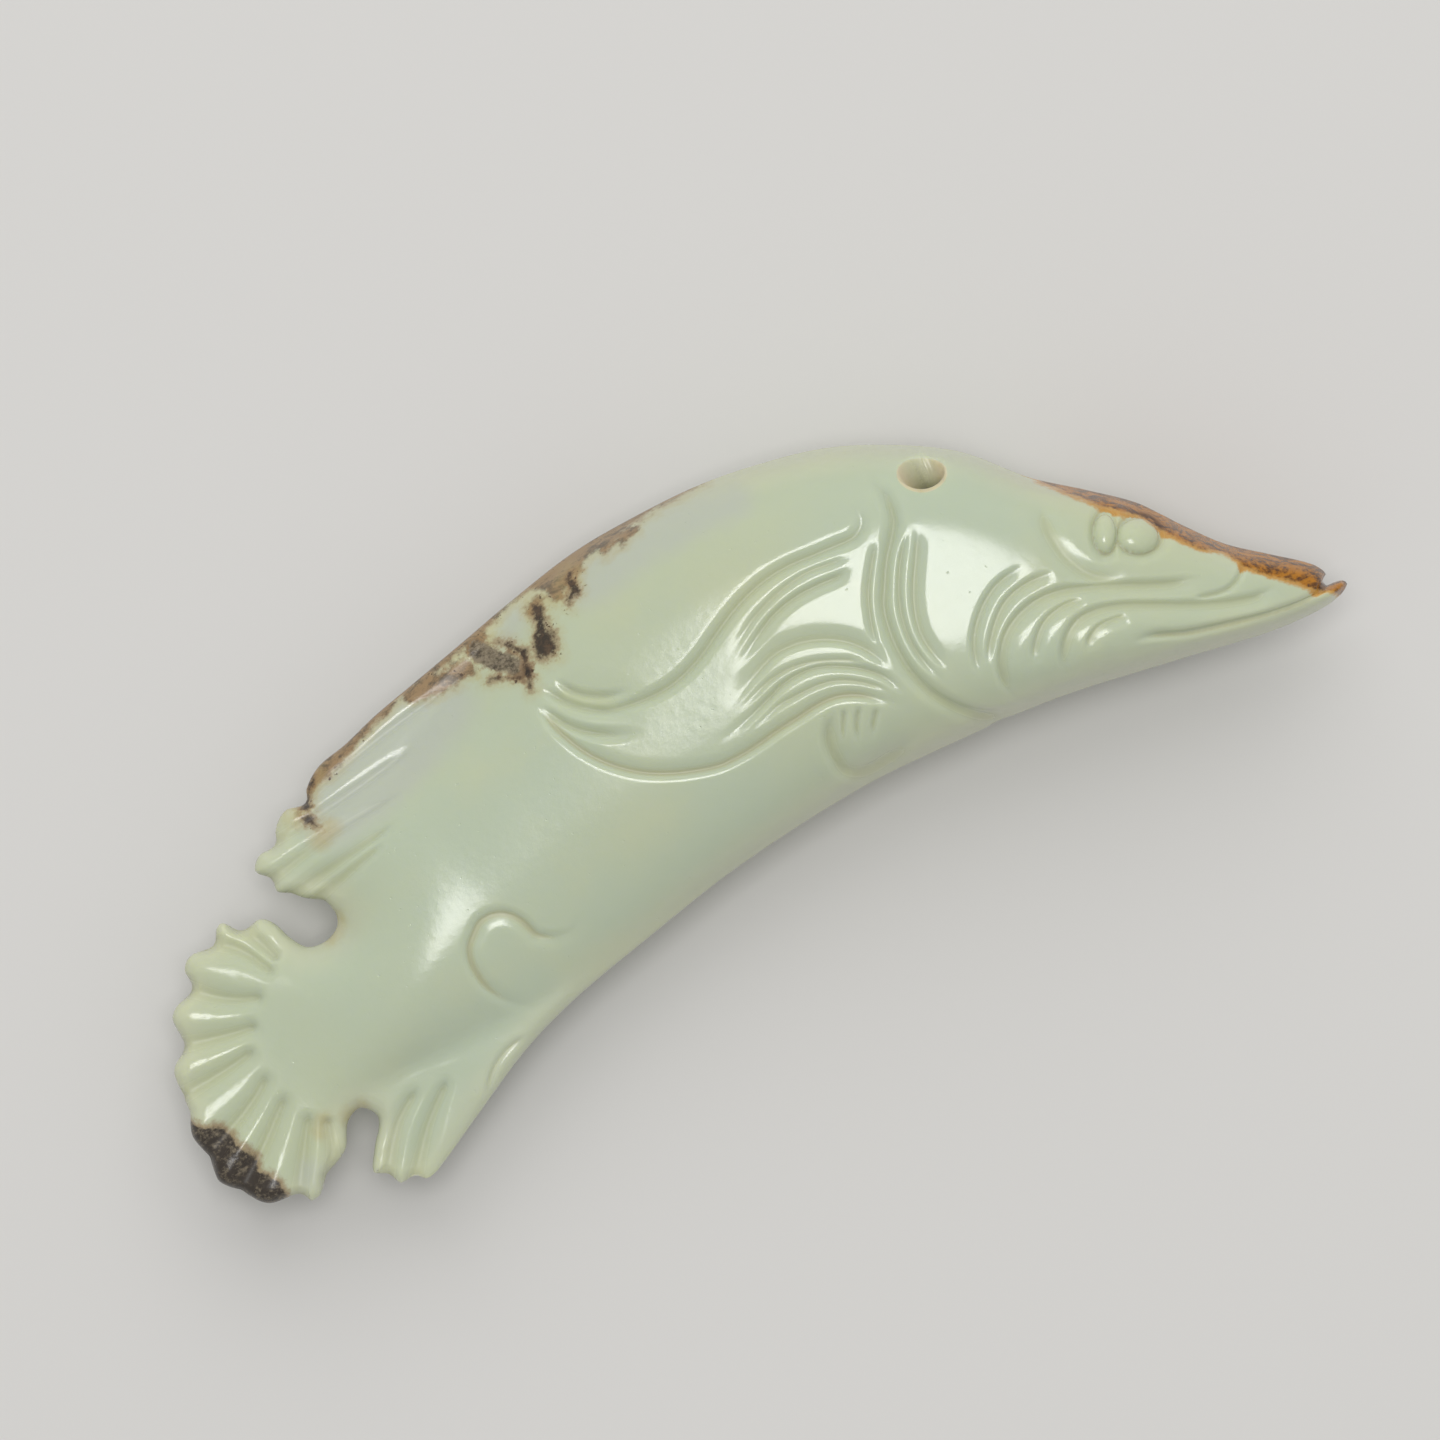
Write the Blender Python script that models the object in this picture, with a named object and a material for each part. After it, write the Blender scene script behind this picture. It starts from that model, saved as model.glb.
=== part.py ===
"""Jade fish carving, a pebble worked on both flanks, lying on its left flank.

One solid. The snout points along +X, the back lies towards +Y and the right flank faces up.
The free form is drawn in thousandths of the fish's length: x runs from the tail's edge at 0
to the lower lip at 1000, and y from the belly side to the back, with 0 halfway.
"""

import math

import bmesh
import bpy
import numpy as np
from mathutils import Vector
from mathutils.geometry import delaunay_2d_cdt, interpolate_bezier

# Driving sizes, in metres
LENGTH = 0.105
THICKNESS = 0.0172
FIN_THICKNESS = 0.0028
FIN_EDGE_ROUND = 0.0013
CARVING_DEPTH = 0.0007
RAY_DEPTH = 0.0006
EYE_HEIGHT = 0.0006
REST_FLAT_DEPTH = 0.0005
CORD_HOLE_MOUTH = 0.0037
CORD_HOLE_WAIST = 0.0017

# How finely the form is sampled before its faces are evened out, in metres, and the faces kept
MESH_STEP = 0.00032
FACE_BUDGET = 9400

SHARE = LENGTH / 1000
JADE = (0.49, 0.55, 0.40, 1.0)
JADE_ROUGHNESS = 0.18

# The outline, anticlockwise from the upper lip. A fin's edge swells to a lobe between two
# rays and has a notch where a groove between them runs out, so the grooves end at its notches.
HEAD_TOP = ((989, -80), (982, -68), (955, -46), (928, -24), (905, 3), (881, 34), (848, 62), (814, 89))
BACK = ((774, 131), (727, 160), (680, 180), (630, 191), (580, 197), (526, 197), (470, 193),
        (412, 181), (357, 167), (309, 155), (273, 146), (242, 136))
DORSAL_LOBES = (((217, 130), (199, 119)), ((177, 110), (164, 101)), ((143, 87), (136, 78)),
                ((144, 56),), ((161, 41),), ((174, 32),))
DORSAL_GROOVES = (
    ((350, 143), (270, 129), (193, 111)),
    ((300, 112), (218, 98), (157, 92)),
    ((275, 84), (205, 78), (142, 66)),
    ((262, 66), (206, 57), (152, 48)),
    ((243, 56), (200, 45), (166, 36)),
)
DORSAL_NOTCH = ((178, 21), (174, 11), (162, 5), (147, 7), (138, 19))
TAIL_LOBES = (((132, 34), (123, 44)), ((96, 54), (87, 52)), ((63, 42), (51, 33)), ((34, 11), (27, 2)),
              ((12, -31),), ((6, -70), (1, -87)), ((5, -130),), ((31, -159),), ((63, -175),),
              ((105, -149),))
TAIL_GROOVES = (
    ((124, 5), (108, 46)),
    ((117, -4), (100, 27), (79, 45)),
    ((104, -15), (74, -2), (47, 20)),
    ((91, -32), (60, -27), (22, -18)),
    ((80, -46), (50, -51), (4, -55)),
    ((81, -65), (53, -84), (1, -107)),
    ((86, -85), (48, -118), (13, -144)),
    ((94, -106), (71, -141), (54, -168)),
    ((104, -116), (96, -143), (86, -163)),
)
VENTRAL_NOTCH = ((115, -130), (129, -124), (138, -137), (124, -158))
ANAL_LOBES = (((115, -174),), ((131, -192),), ((152, -198), (170, -190)))
ANAL_GROOVES = (
    ((180, -127), (150, -148), (123, -183)),
    ((205, -130), (172, -158), (142, -194)),
)
BELLY = ((209, -169), (267, -139), (317, -121), (381, -105), (477, -84), (588, -71), (675, -71),
         (758, -75), (859, -90), (928, -101), (969, -103), (990, -100))
MOUTH_TIP = ((1000, -94), (998, -90), (987, -87))

# Where the thin anal fin begins
ANAL_FIN_ROOT = ((317, -121), (280, -127), (246, -126), (210, -123), (175, -119), (129, -124))
FIN_FILLET = 12

# Half the thickness along the fish, as a share of the thickest place, then how square its section is,
# and how much it falls away to its edges
RIGHT_SWELL = ((0, 0.10), (50, 0.15), (90, 0.205), (130, 0.295), (180, 0.42), (215, 0.488), (250, 0.52),
               (280, 0.535), (320, 0.595), (350, 0.64), (420, 0.75), (500, 0.855), (560, 0.93),
               (600, 0.975), (650, 1.0), (700, 1.0), (750, 0.995), (790, 0.97), (840, 0.88), (890, 0.73),
               (950, 0.50), (1000, 0.30))
LEFT_SWELL = ((0, 0.10), (50, 0.15), (90, 0.205), (130, 0.30), (180, 0.46), (260, 0.68), (360, 0.86),
              (460, 0.96), (540, 1.0), (650, 1.0), (740, 0.94), (820, 0.80), (890, 0.64), (950, 0.46),
              (1000, 0.30))
FULLNESS = ((0, 2.6), (150, 2.8), (220, 2.1), (300, 2.0), (420, 2.4), (560, 2.9), (650, 3.3), (750, 4.1),
            (850, 4.0), (1000, 3.0))
FALL = ((0, 0.5), (120, 0.55), (190, 0.75), (250, 0.95), (320, 0.8), (430, 0.6), (520, 0.5), (1000, 0.5))
TABLE_SMOOTHING = 12

# The dorsal fin hollows out of the back: where it starts, over how long and high a way, and how much
DORSAL_FIN_START = 450
DORSAL_FIN_BLEND = 170
DORSAL_FIN_LOW = -20
DORSAL_FIN_RISE = 110
DORSAL_FIN_HOLLOW = 0.7

# The fins' thickness varies by its whole over these lengths, and the dorsal fin's edge is thinner
# by a share
DORSAL_FIN_TAPER = 90
ANAL_FIN_TAPER = 150
DORSAL_EDGE_THINNER = 0.2

# Carved channels: half width, depth as a share of the full depth, and the line the wheel followed.
# The first ones are cut on both flanks, the others only on the right one.
MAIN_STROKES = (
    (10.0, 1.0, ((684, 151), (697, 142), (704, 132), (705, 119), (695, 94), (674, 63), (662, 30),
                 (663, -7), (674, -35), (702, -64), (733, -73))),
    (10.0, 1.0, ((673, 133), (679, 124), (678, 113), (653, 107), (612, 109), (571, 101), (540, 86),
                 (505, 69), (466, 65), (430, 75), (410, 103))),
    (8.0, 1.0, ((660, -45), (634, -17), (603, 1), (571, 0), (535, -5), (498, -7), (457, 6), (421, 32),
                (398, 70), (391, 106))),
    (9.0, 1.0, ((906, -42), (862, -27), (808, -4), (771, 1), (740, -13), (725, -40), (733, -72))),
    (8.0, 1.0, ((950, -66), (909, -65), (855, -41), (815, -26), (785, -33), (772, -58), (776, -72))),
    (5.0, 1.0, ((821, -65), (844, -64), (901, -82), (962, -92), (990, -84))),
    (5.5, 0.8, ((353, -60), (344, -69), (326, -71), (309, -52), (288, -33), (261, -48),
                (259, -81), (285, -111), (303, -118))),
    (6.0, 0.6, ((300, -124), (264, -129), (210, -124), (155, -120))),
    (6.0, 0.8, ((848, 47), (840, 22), (856, -1), (880, -3), (890, 8))),
)
FINE_STROKES = (
    (6.0, 0.7, ((711, 96), (688, 66), (675, 34), (676, -6), (684, -32))),
    (5.5, 0.6, ((664, 94), (624, 97), (586, 90), (554, 74), (535, 63))),
    (6.0, 0.7, ((662, 82), (626, 82), (586, 76), (555, 59), (536, 48))),
    (7.0, 0.8, ((651, -1), (633, 31), (603, 49), (572, 51), (538, 37), (517, 28))),
    (7.0, 0.8, ((654, -24), (631, 11), (600, 28), (568, 28), (536, 17), (498, 10))),
    (6.0, 0.7, ((410, 111), (418, 95), (432, 83), (449, 74))),
    (6.0, 0.7, ((398, 106), (405, 88), (417, 73), (434, 63))),
    (5.5, 0.8, ((605, -7), (585, -20), (581, -44), (601, -62), (631, -59), (655, -49))),
    (6.0, 0.7, ((782, 29), (753, 26), (725, 6), (711, -22))),
    (6.0, 0.7, ((801, 13), (769, 16), (738, 0), (721, -23))),
    (6.0, 0.7, ((816, -17), (786, -12), (763, -24), (754, -38))),
    (5.5, 0.6, ((839, -41), (809, -38), (791, -56))),
)
EYES = (((869, 12), 14, 1.0), ((846, 25), 10, 0.7))
RAY_HALF_WIDTH = 9.0
DORSAL_RAY_SHARE = 0.6
WHEEL_SHARPNESS = 1.3
FADE_SHARE = 1 / 6

# The flank that it lies on is worn flat at its middle, and its carving is a little shallower
REST_FLAT_PLACE = (500, 18)
REST_FLAT_HALF = (150, 66)
UNDER_CARVING = 0.8

# Where the cord hole is bored through, just under the back, from both flanks
CORD_HOLE_PLACE = (739, 130)
CORD_HOLE_LEAN = math.radians(34)
BORE_SIDES = 28
BORE_OVERLAP = 0.0006

# Spacing along the drawn lines and the tables, the tables' span and the reach of their smoothing,
# the least distance that is told apart, and how many places are measured at a time
LINE_STEP = 4.0
TABLE_STEP = 0.05
TABLE_SPAN = (-100, 1101)
SMOOTHING_REACH = 50
LEAST_GAP = 0.3
BATCH = 20000

# The mesh's rings inside the outline, in mesh steps
RIM_RINGS = (0.12, 0.45, 1.0)
RING_CLEAR = 0.97
FIELD_CLEAR = 1.6
NO_GAP = 1e-6


def flowing_line(guides, step, closed=False):
    """Places about a step apart along a smooth line through the guide points."""
    guides = [Vector(guide) for guide in guides]
    count = len(guides)

    def slope(i):
        before = guides[(i - 1) % count] if closed or i > 0 else guides[i]
        after = guides[(i + 1) % count] if closed or i < count - 1 else guides[i]
        gap_before = (guides[i] - before).length
        gap_after = (after - guides[i]).length
        return (after - before) / (gap_before + gap_after)

    line = []
    for i in range(count if closed else count - 1):
        start, end = guides[i], guides[(i + 1) % count]
        third = (end - start).length / 3
        leaves = start + slope(i) * third
        arrives = end - slope((i + 1) % count) * third
        pieces = max(2, round(3 * third / step))
        line += interpolate_bezier(start, leaves, arrives, end, pieces + 1)[:-1]
    if not closed:
        line.append(guides[-1])
    return np.array([(place[0], place[1]) for place in line])


def measure(places, line, closed=False):
    """Each place's distance to a line, its side (left is positive) and its share of the way along."""
    if closed:
        line = np.vstack((line, line[:1]))
    nearest = np.full(len(places), np.inf)
    side = np.ones(len(places))
    along = np.zeros(len(places))
    for k in range(len(line) - 1):
        run = line[k + 1] - line[k]
        offset = places - line[k]
        share = np.clip(offset @ run / (run @ run), 0, 1)
        gap = offset - share[:, None] * run
        distance = np.hypot(gap[:, 0], gap[:, 1])
        closer = distance < nearest
        nearest[closer] = distance[closer]
        side[closer] = np.sign(run[0] * offset[closer, 1] - run[1] * offset[closer, 0])
        along[closer] = (k + share[closer]) / (len(line) - 1)
    return nearest, side, along


def soft_distance(places, line):
    """Distance to a line, rounded off where two parts of the line are about as near as each other."""
    start, run = line[:-1], np.diff(line, axis=0)
    length = np.hypot(run[:, 0], run[:, 1])
    run = run / length[:, None]
    distance = np.empty(len(places))
    for first in range(0, len(places), BATCH):
        offset = places[first:first + BATCH, None] - start
        past = offset[..., 0] * run[:, 0] + offset[..., 1] * run[:, 1]
        off = offset[..., 0] * run[:, 1] - offset[..., 1] * run[:, 0]
        square = np.maximum(off ** 2, LEAST_GAP ** 2)
        ahead = length - past
        pull = ahead * (3 * square + 2 * ahead ** 2) / (square + ahead ** 2) ** 1.5
        pull += past * (3 * square + 2 * past ** 2) / (square + past ** 2) ** 1.5
        distance[first:first + BATCH] = (4 / (pull / square ** 2).sum(axis=1)) ** 0.25
    return distance


def ease(value):
    """A smooth climb from 0 to 1."""
    value = np.clip(value, 0, 1)
    return value ** 3 * (10 - 15 * value + 6 * value ** 2)


def table(guides, at):
    """A smooth curve through a table's points, read at each place."""
    curve = flowing_line(guides, TABLE_STEP)
    whole = np.arange(*TABLE_SPAN)
    bell = np.exp(-0.5 * (np.arange(-SMOOTHING_REACH, SMOOTHING_REACH + 1) / TABLE_SMOOTHING) ** 2)
    smooth = np.convolve(np.interp(whole, curve[:, 0], curve[:, 1]), bell / bell.sum(), mode="same")
    return np.interp(at, whole, smooth)


def lobed_edge(lobes, grooves):
    """A fin's edge: a lobe, the notch at a groove's end, the next lobe and so on."""
    edge = []
    for i, lobe in enumerate(lobes):
        edge += lobe
        if i < len(grooves):
            edge.append(grooves[i][-1])
    return edge


def outline_guides():
    """The whole silhouette's guide points, in order."""
    return [*HEAD_TOP, *BACK, *lobed_edge(DORSAL_LOBES, DORSAL_GROOVES), *DORSAL_NOTCH,
            *lobed_edge(TAIL_LOBES, TAIL_GROOVES), *VENTRAL_NOTCH,
            *lobed_edge(ANAL_LOBES, ANAL_GROOVES), *BELLY, *MOUTH_TIP]


def flank_heights(places, outline):
    """Heights of the smooth right and left flanks over the middle plane."""
    upper = flowing_line((MOUTH_TIP[-1], *HEAD_TOP, *BACK, DORSAL_LOBES[0][0], *DORSAL_LOBES[2],
                          DORSAL_LOBES[-2][0], *DORSAL_NOTCH[1:], TAIL_LOBES[0][0], TAIL_LOBES[1][0],
                          TAIL_LOBES[2][1], TAIL_LOBES[3][1], TAIL_LOBES[5][1]), LINE_STEP)
    lower = flowing_line((MOUTH_TIP[0], *BELLY[:1:-1], *ANAL_FIN_ROOT[1:], VENTRAL_NOTCH[0],
                          *[lobe[0] for lobe in TAIL_LOBES[:5:-1]], TAIL_LOBES[5][1]), LINE_STEP)
    belly = flowing_line((MOUTH_TIP[0], *BELLY[:1:-1], *ANAL_FIN_ROOT[1:], VENTRAL_NOTCH[0]), LINE_STEP)
    from_upper, from_lower = soft_distance(places, upper), soft_distance(places, lower)
    _, belly_side, _ = measure(places, belly)
    from_edge, _, _ = measure(places, outline, closed=True)
    across = from_upper / (from_upper + from_lower)
    in_dorsal_fin = ease((DORSAL_FIN_START - places[:, 0]) / DORSAL_FIN_BLEND)
    in_dorsal_fin *= ease((places[:, 1] - DORSAL_FIN_LOW) / DORSAL_FIN_RISE)
    hollow = DORSAL_FIN_HOLLOW * in_dorsal_fin * ease(1 - 2 * across)
    flank = np.clip(1 - np.abs(2 * across - 1) ** table(FULLNESS, places[:, 0]), 0, 1)
    flank **= table(FALL, places[:, 0]) + hollow
    in_anal_fin = (belly_side > 0) & (places[:, 0] > VENTRAL_NOTCH[0][0])
    flank[in_anal_fin] = 0
    taper = np.where(in_anal_fin, -from_lower / ANAL_FIN_TAPER,
                     in_dorsal_fin * (from_upper / DORSAL_FIN_TAPER - DORSAL_EDGE_THINNER))
    fin = FIN_THICKNESS / 2 / SHARE * (1 + taper)
    rim = 1 - np.clip(from_edge * SHARE / FIN_EDGE_ROUND, 0, 1)
    heights = []
    for swell in (RIGHT_SWELL, LEFT_SWELL):
        body = table(swell, places[:, 0]) * THICKNESS / 2 / SHARE * flank
        fillet = FIN_FILLET * fin / (body + fin)
        blended = (body + fin + np.sqrt((body - fin) ** 2 + fillet ** 2 / 4)) / 2
        heights.append(blended * np.sqrt(1 - rim * rim))
    return heights


def carving(places, strokes, eye_height):
    """Depth that the wheel takes off a flank at each place, less what stands proud."""
    depth = np.zeros(len(places))
    fins = ((1.0, TAIL_GROOVES), (1.0, ANAL_GROOVES), (DORSAL_RAY_SHARE, DORSAL_GROOVES))
    rays = [(RAY_HALF_WIDTH, share, guides, True) for share, grooves in fins for guides in grooves]
    for half_width, share, guides, runs_out in [(*stroke, False) for stroke in strokes] + rays:
        line = flowing_line(guides, LINE_STEP)
        low, high = line.min(axis=0) - half_width, line.max(axis=0) + half_width
        close = np.all((places > low) & (places < high), axis=1)
        distance, _, along = measure(places[close], line)
        full_depth = share * (RAY_DEPTH if runs_out else CARVING_DEPTH)
        section = np.clip(1 - (distance / half_width) ** 2, 0, 1) ** WHEEL_SHARPNESS
        fade = ease(along / FADE_SHARE) * (1 if runs_out else ease((1 - along) / FADE_SHARE))
        depth[close] = np.maximum(depth[close], full_depth * section * fade)
    for centre, radius, share in EYES:
        distance = np.hypot(places[:, 0] - centre[0], places[:, 1] - centre[1])
        dome = share * eye_height * np.sqrt(np.clip(1 - (distance / radius) ** 2, 0, 1))
        depth = np.where(dome > 0, -dome, depth)
    return depth


def plan_places(outline):
    """The outline, rings just inside it for the rounded edge, and an even field within."""
    step = MESH_STEP / SHARE
    after = np.roll(outline, -1, axis=0) - np.roll(outline, 1, axis=0)
    inward = np.stack((-after[:, 1], after[:, 0]), axis=1) / np.hypot(after[:, 0], after[:, 1])[:, None]
    rings = []
    for inset in RIM_RINGS:
        ring = outline + inward * inset * step
        distance, _, _ = measure(ring, outline, closed=True)
        rings.append(ring[distance > RING_CLEAR * inset * step])
    low, high = outline.min(axis=0), outline.max(axis=0)
    rows = int((high[1] - low[1]) / (step * math.sqrt(3) / 2)) + 1
    columns = int((high[0] - low[0]) / step) + 2
    column, row = np.meshgrid(np.arange(columns), np.arange(rows))
    field = np.stack((low[0] + (column + 0.5 * (row % 2)) * step,
                      low[1] + row * step * math.sqrt(3) / 2), axis=-1).reshape(-1, 2)
    distance, _, _ = measure(field, outline, closed=True)
    return np.vstack((outline, *rings, field[distance > FIELD_CLEAR * step]))


def two_flanks(outline):
    """The uncarved pebble: two flanks that share the outline, as one closed mesh."""
    places = plan_places(outline)
    ring = len(outline)
    edges = [(i, (i + 1) % ring) for i in range(ring)]
    found, _, faces, _, _, _ = delaunay_2d_cdt([Vector(p) for p in places], edges, [], 1, NO_GAP)
    used = sorted({corner for face in faces for corner in face})
    renumbered = {corner: i for i, corner in enumerate(used)}
    plan = np.array([tuple(found[corner]) for corner in used])
    up, down = flank_heights(plan, outline)
    up[:ring] = 0
    below = np.arange(len(plan)) + len(plan) - ring
    below[:ring] = np.arange(ring)
    top = np.column_stack((plan, up))
    bottom = np.column_stack((plan, -down))[ring:]
    vertices = np.vstack((top, bottom)) * SHARE
    faces = [tuple(renumbered[corner] for corner in face) for face in faces]
    faces += [tuple(int(below[i]) for i in reversed(face)) for face in faces]
    mesh = bpy.data.meshes.new("fish")
    mesh.from_pydata(vertices.tolist(), [], faces)
    return mesh, len(plan)


def carve(mesh, top_count):
    """Press the carving into both flanks, along the surface, and cut the resting flat."""
    count = len(mesh.vertices)
    place = np.empty(count * 3, dtype=np.float32)
    mesh.vertices.foreach_get("co", place)
    place = place.reshape(-1, 3).astype(float)
    normal = np.array([tuple(vertex.normal) for vertex in mesh.vertices])
    plan = place[:, :2] / SHARE
    depth = np.empty(count)
    depth[:top_count] = carving(plan[:top_count], MAIN_STROKES + FINE_STROKES, EYE_HEIGHT)
    depth[top_count:] = carving(plan[top_count:], MAIN_STROKES, EYE_HEIGHT) * UNDER_CARVING
    from_flat = (plan[top_count:] - REST_FLAT_PLACE) / REST_FLAT_HALF
    depth[top_count:] *= ease(2 * np.hypot(from_flat[:, 0], from_flat[:, 1]) - 1)
    place -= normal * depth[:, None]
    floor = -THICKNESS / 2 + REST_FLAT_DEPTH
    place[:, 2] = np.maximum(place[:, 2], floor) - floor
    middle = (place[:, :2].min(axis=0) + place[:, :2].max(axis=0)) / 2
    place[:, :2] -= middle
    mesh.vertices.foreach_set("co", place.astype(np.float32).ravel())
    mesh.update()
    return Vector((middle[0], middle[1], floor))


def jade():
    """Pale celadon jade with a polish."""
    material = bpy.data.materials.new("celadon jade")
    material.use_nodes = True
    shader = material.node_tree.nodes["Principled BSDF"]
    shader.inputs["Base Color"].default_value = JADE
    shader.inputs["Roughness"].default_value = JADE_ROUGHNESS
    shader.inputs["Metallic"].default_value = 0.0
    return material


def cord_bore(name, mouth, flank, collection):
    """A tapered bore from one flank, leaning in so that the two meet in the middle plane."""
    inward = Vector((0, -math.sin(CORD_HOLE_LEAN), -flank * math.cos(CORD_HOLE_LEAN)))
    reach = abs(mouth.z / inward.z) + BORE_OVERLAP
    inner_end = mouth + inward * reach
    widening = (CORD_HOLE_MOUTH - CORD_HOLE_WAIST) / 2 / reach
    cutter_length = 2 * reach
    cone = bmesh.new()
    bmesh.ops.create_cone(cone, cap_ends=True, segments=BORE_SIDES, depth=cutter_length,
                          radius1=CORD_HOLE_WAIST / 2,
                          radius2=CORD_HOLE_WAIST / 2 + widening * cutter_length)
    mesh = bpy.data.meshes.new(name)
    cone.to_mesh(mesh)
    cone.free()
    bore = bpy.data.objects.new(name, mesh)
    bore.rotation_euler = (-inward).to_track_quat("Z", "Y").to_euler()
    bore.location = inner_end - inward * cutter_length / 2
    bore.hide_render = True
    bore.display_type = "WIRE"
    collection.objects.link(bore)
    return bore


for old in list(bpy.data.objects):
    bpy.data.objects.remove(old, do_unlink=True)

parts = bpy.data.collections.new("jade fish carving")
cutters = bpy.data.collections.new("cutters")
bpy.context.scene.collection.children.link(parts)
bpy.context.scene.collection.children.link(cutters)

outline = flowing_line(outline_guides(), MESH_STEP / SHARE, closed=True)
body_mesh, right_flank_count = two_flanks(outline)
shift = carve(body_mesh, right_flank_count)
body_mesh.materials.append(jade())
fish = bpy.data.objects.new("fish", body_mesh)
parts.objects.link(fish)
evened = fish.modifiers.new("even out the faces", "DECIMATE")
evened.ratio = FACE_BUDGET / len(body_mesh.polygons)

hole_heights = flank_heights(np.array([CORD_HOLE_PLACE], dtype=float), outline)
for side_name, flank, height in (("right", 1, hole_heights[0]), ("left", -1, hole_heights[1])):
    mouth = Vector((*CORD_HOLE_PLACE, flank * height[0])) * SHARE
    bore = cord_bore("cord bore " + side_name, mouth, flank, cutters)
    bore.location -= shift
    cut = fish.modifiers.new(bore.name, "BOOLEAN")
    cut.operation = "DIFFERENCE"
    cut.solver = "EXACT"
    cut.object = bore
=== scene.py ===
import math

import bpy
import bmesh
import numpy as np
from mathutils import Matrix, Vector
from mathutils.geometry import delaunay_2d_cdt, interpolate_bezier


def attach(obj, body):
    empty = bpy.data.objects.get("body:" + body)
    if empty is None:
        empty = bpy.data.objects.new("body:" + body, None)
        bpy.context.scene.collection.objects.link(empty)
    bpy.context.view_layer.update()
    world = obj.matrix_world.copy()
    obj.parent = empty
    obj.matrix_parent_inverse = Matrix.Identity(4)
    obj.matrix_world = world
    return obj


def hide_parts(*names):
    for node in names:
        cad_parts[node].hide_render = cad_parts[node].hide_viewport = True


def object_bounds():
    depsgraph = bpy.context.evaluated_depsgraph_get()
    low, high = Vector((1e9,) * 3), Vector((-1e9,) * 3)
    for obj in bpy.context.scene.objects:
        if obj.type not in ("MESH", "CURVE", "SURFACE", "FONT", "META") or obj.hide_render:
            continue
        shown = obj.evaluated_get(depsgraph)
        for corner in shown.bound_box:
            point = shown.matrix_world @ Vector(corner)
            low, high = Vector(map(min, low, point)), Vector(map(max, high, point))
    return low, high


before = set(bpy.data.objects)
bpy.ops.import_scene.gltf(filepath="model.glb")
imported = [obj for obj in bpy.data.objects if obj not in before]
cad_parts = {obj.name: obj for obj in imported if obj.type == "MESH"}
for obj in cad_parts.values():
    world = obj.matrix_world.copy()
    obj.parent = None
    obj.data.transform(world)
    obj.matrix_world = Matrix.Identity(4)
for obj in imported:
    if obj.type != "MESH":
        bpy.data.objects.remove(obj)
cad_low, cad_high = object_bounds()

# The pebble. One piece of pale nephrite, ground to the fish's outline and rounded on both flanks.
# It is drawn in thousandths of the fish's length: x from the tail's edge to the lower lip, y from
# the belly side to the back. The hidden left flank is worn flat where the fish lies on it.
LENGTH = 0.105
SHARE = LENGTH / 1000
THICKNESS = 0.0172
FIN_THICKNESS = 0.0028
FIN_EDGE_ROUND = 0.0013
REST_FLAT_DEPTH = 0.0005

HEAD_TOP = ((989, -80), (982, -68), (955, -46), (928, -24), (905, 3), (881, 34), (848, 62), (814, 89))
BACK = ((774, 131), (727, 160), (680, 180), (630, 191), (580, 197), (526, 197), (470, 193),
        (412, 181), (357, 167), (309, 155), (273, 146), (242, 136))
DORSAL_LOBES = (((217, 130), (199, 119)), ((177, 110), (164, 101)), ((143, 87), (136, 78)),
                ((144, 56),), ((161, 41),), ((174, 32),))
DORSAL_GROOVES = (
    ((350, 143), (270, 129), (193, 111)),
    ((300, 112), (218, 98), (157, 92)),
    ((275, 84), (205, 78), (142, 66)),
    ((262, 66), (206, 57), (152, 48)),
    ((243, 56), (200, 45), (166, 36)),
)
DORSAL_NOTCH = ((178, 21), (174, 11), (162, 5), (147, 7), (138, 19))
TAIL_LOBES = (((132, 34), (123, 44)), ((96, 54), (87, 52)), ((63, 42), (51, 33)), ((34, 11), (27, 2)),
              ((12, -31),), ((6, -70), (1, -87)), ((5, -130),), ((31, -159),), ((63, -175),),
              ((105, -149),))
TAIL_GROOVES = (
    ((124, 5), (108, 46)),
    ((117, -4), (100, 27), (79, 45)),
    ((104, -15), (74, -2), (47, 20)),
    ((91, -32), (60, -27), (22, -18)),
    ((80, -46), (50, -51), (4, -55)),
    ((81, -65), (53, -84), (1, -107)),
    ((86, -85), (48, -118), (13, -144)),
    ((94, -106), (71, -141), (54, -168)),
    ((104, -116), (96, -143), (86, -163)),
)
VENTRAL_NOTCH = ((115, -130), (129, -124), (138, -137), (124, -158))
ANAL_LOBES = (((115, -174),), ((131, -192),), ((152, -198), (170, -190)))
ANAL_GROOVES = (
    ((180, -127), (150, -148), (123, -183)),
    ((205, -130), (172, -158), (142, -194)),
)
BELLY = ((209, -169), (267, -139), (317, -121), (381, -105), (477, -84), (588, -71), (675, -71),
         (758, -75), (859, -90), (928, -101), (969, -103), (990, -100))
MOUTH_TIP = ((1000, -94), (998, -90), (987, -87))

ANAL_FIN_ROOT = ((317, -121), (280, -127), (246, -126), (210, -123), (175, -119), (129, -124))
FIN_FILLET = 12

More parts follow.
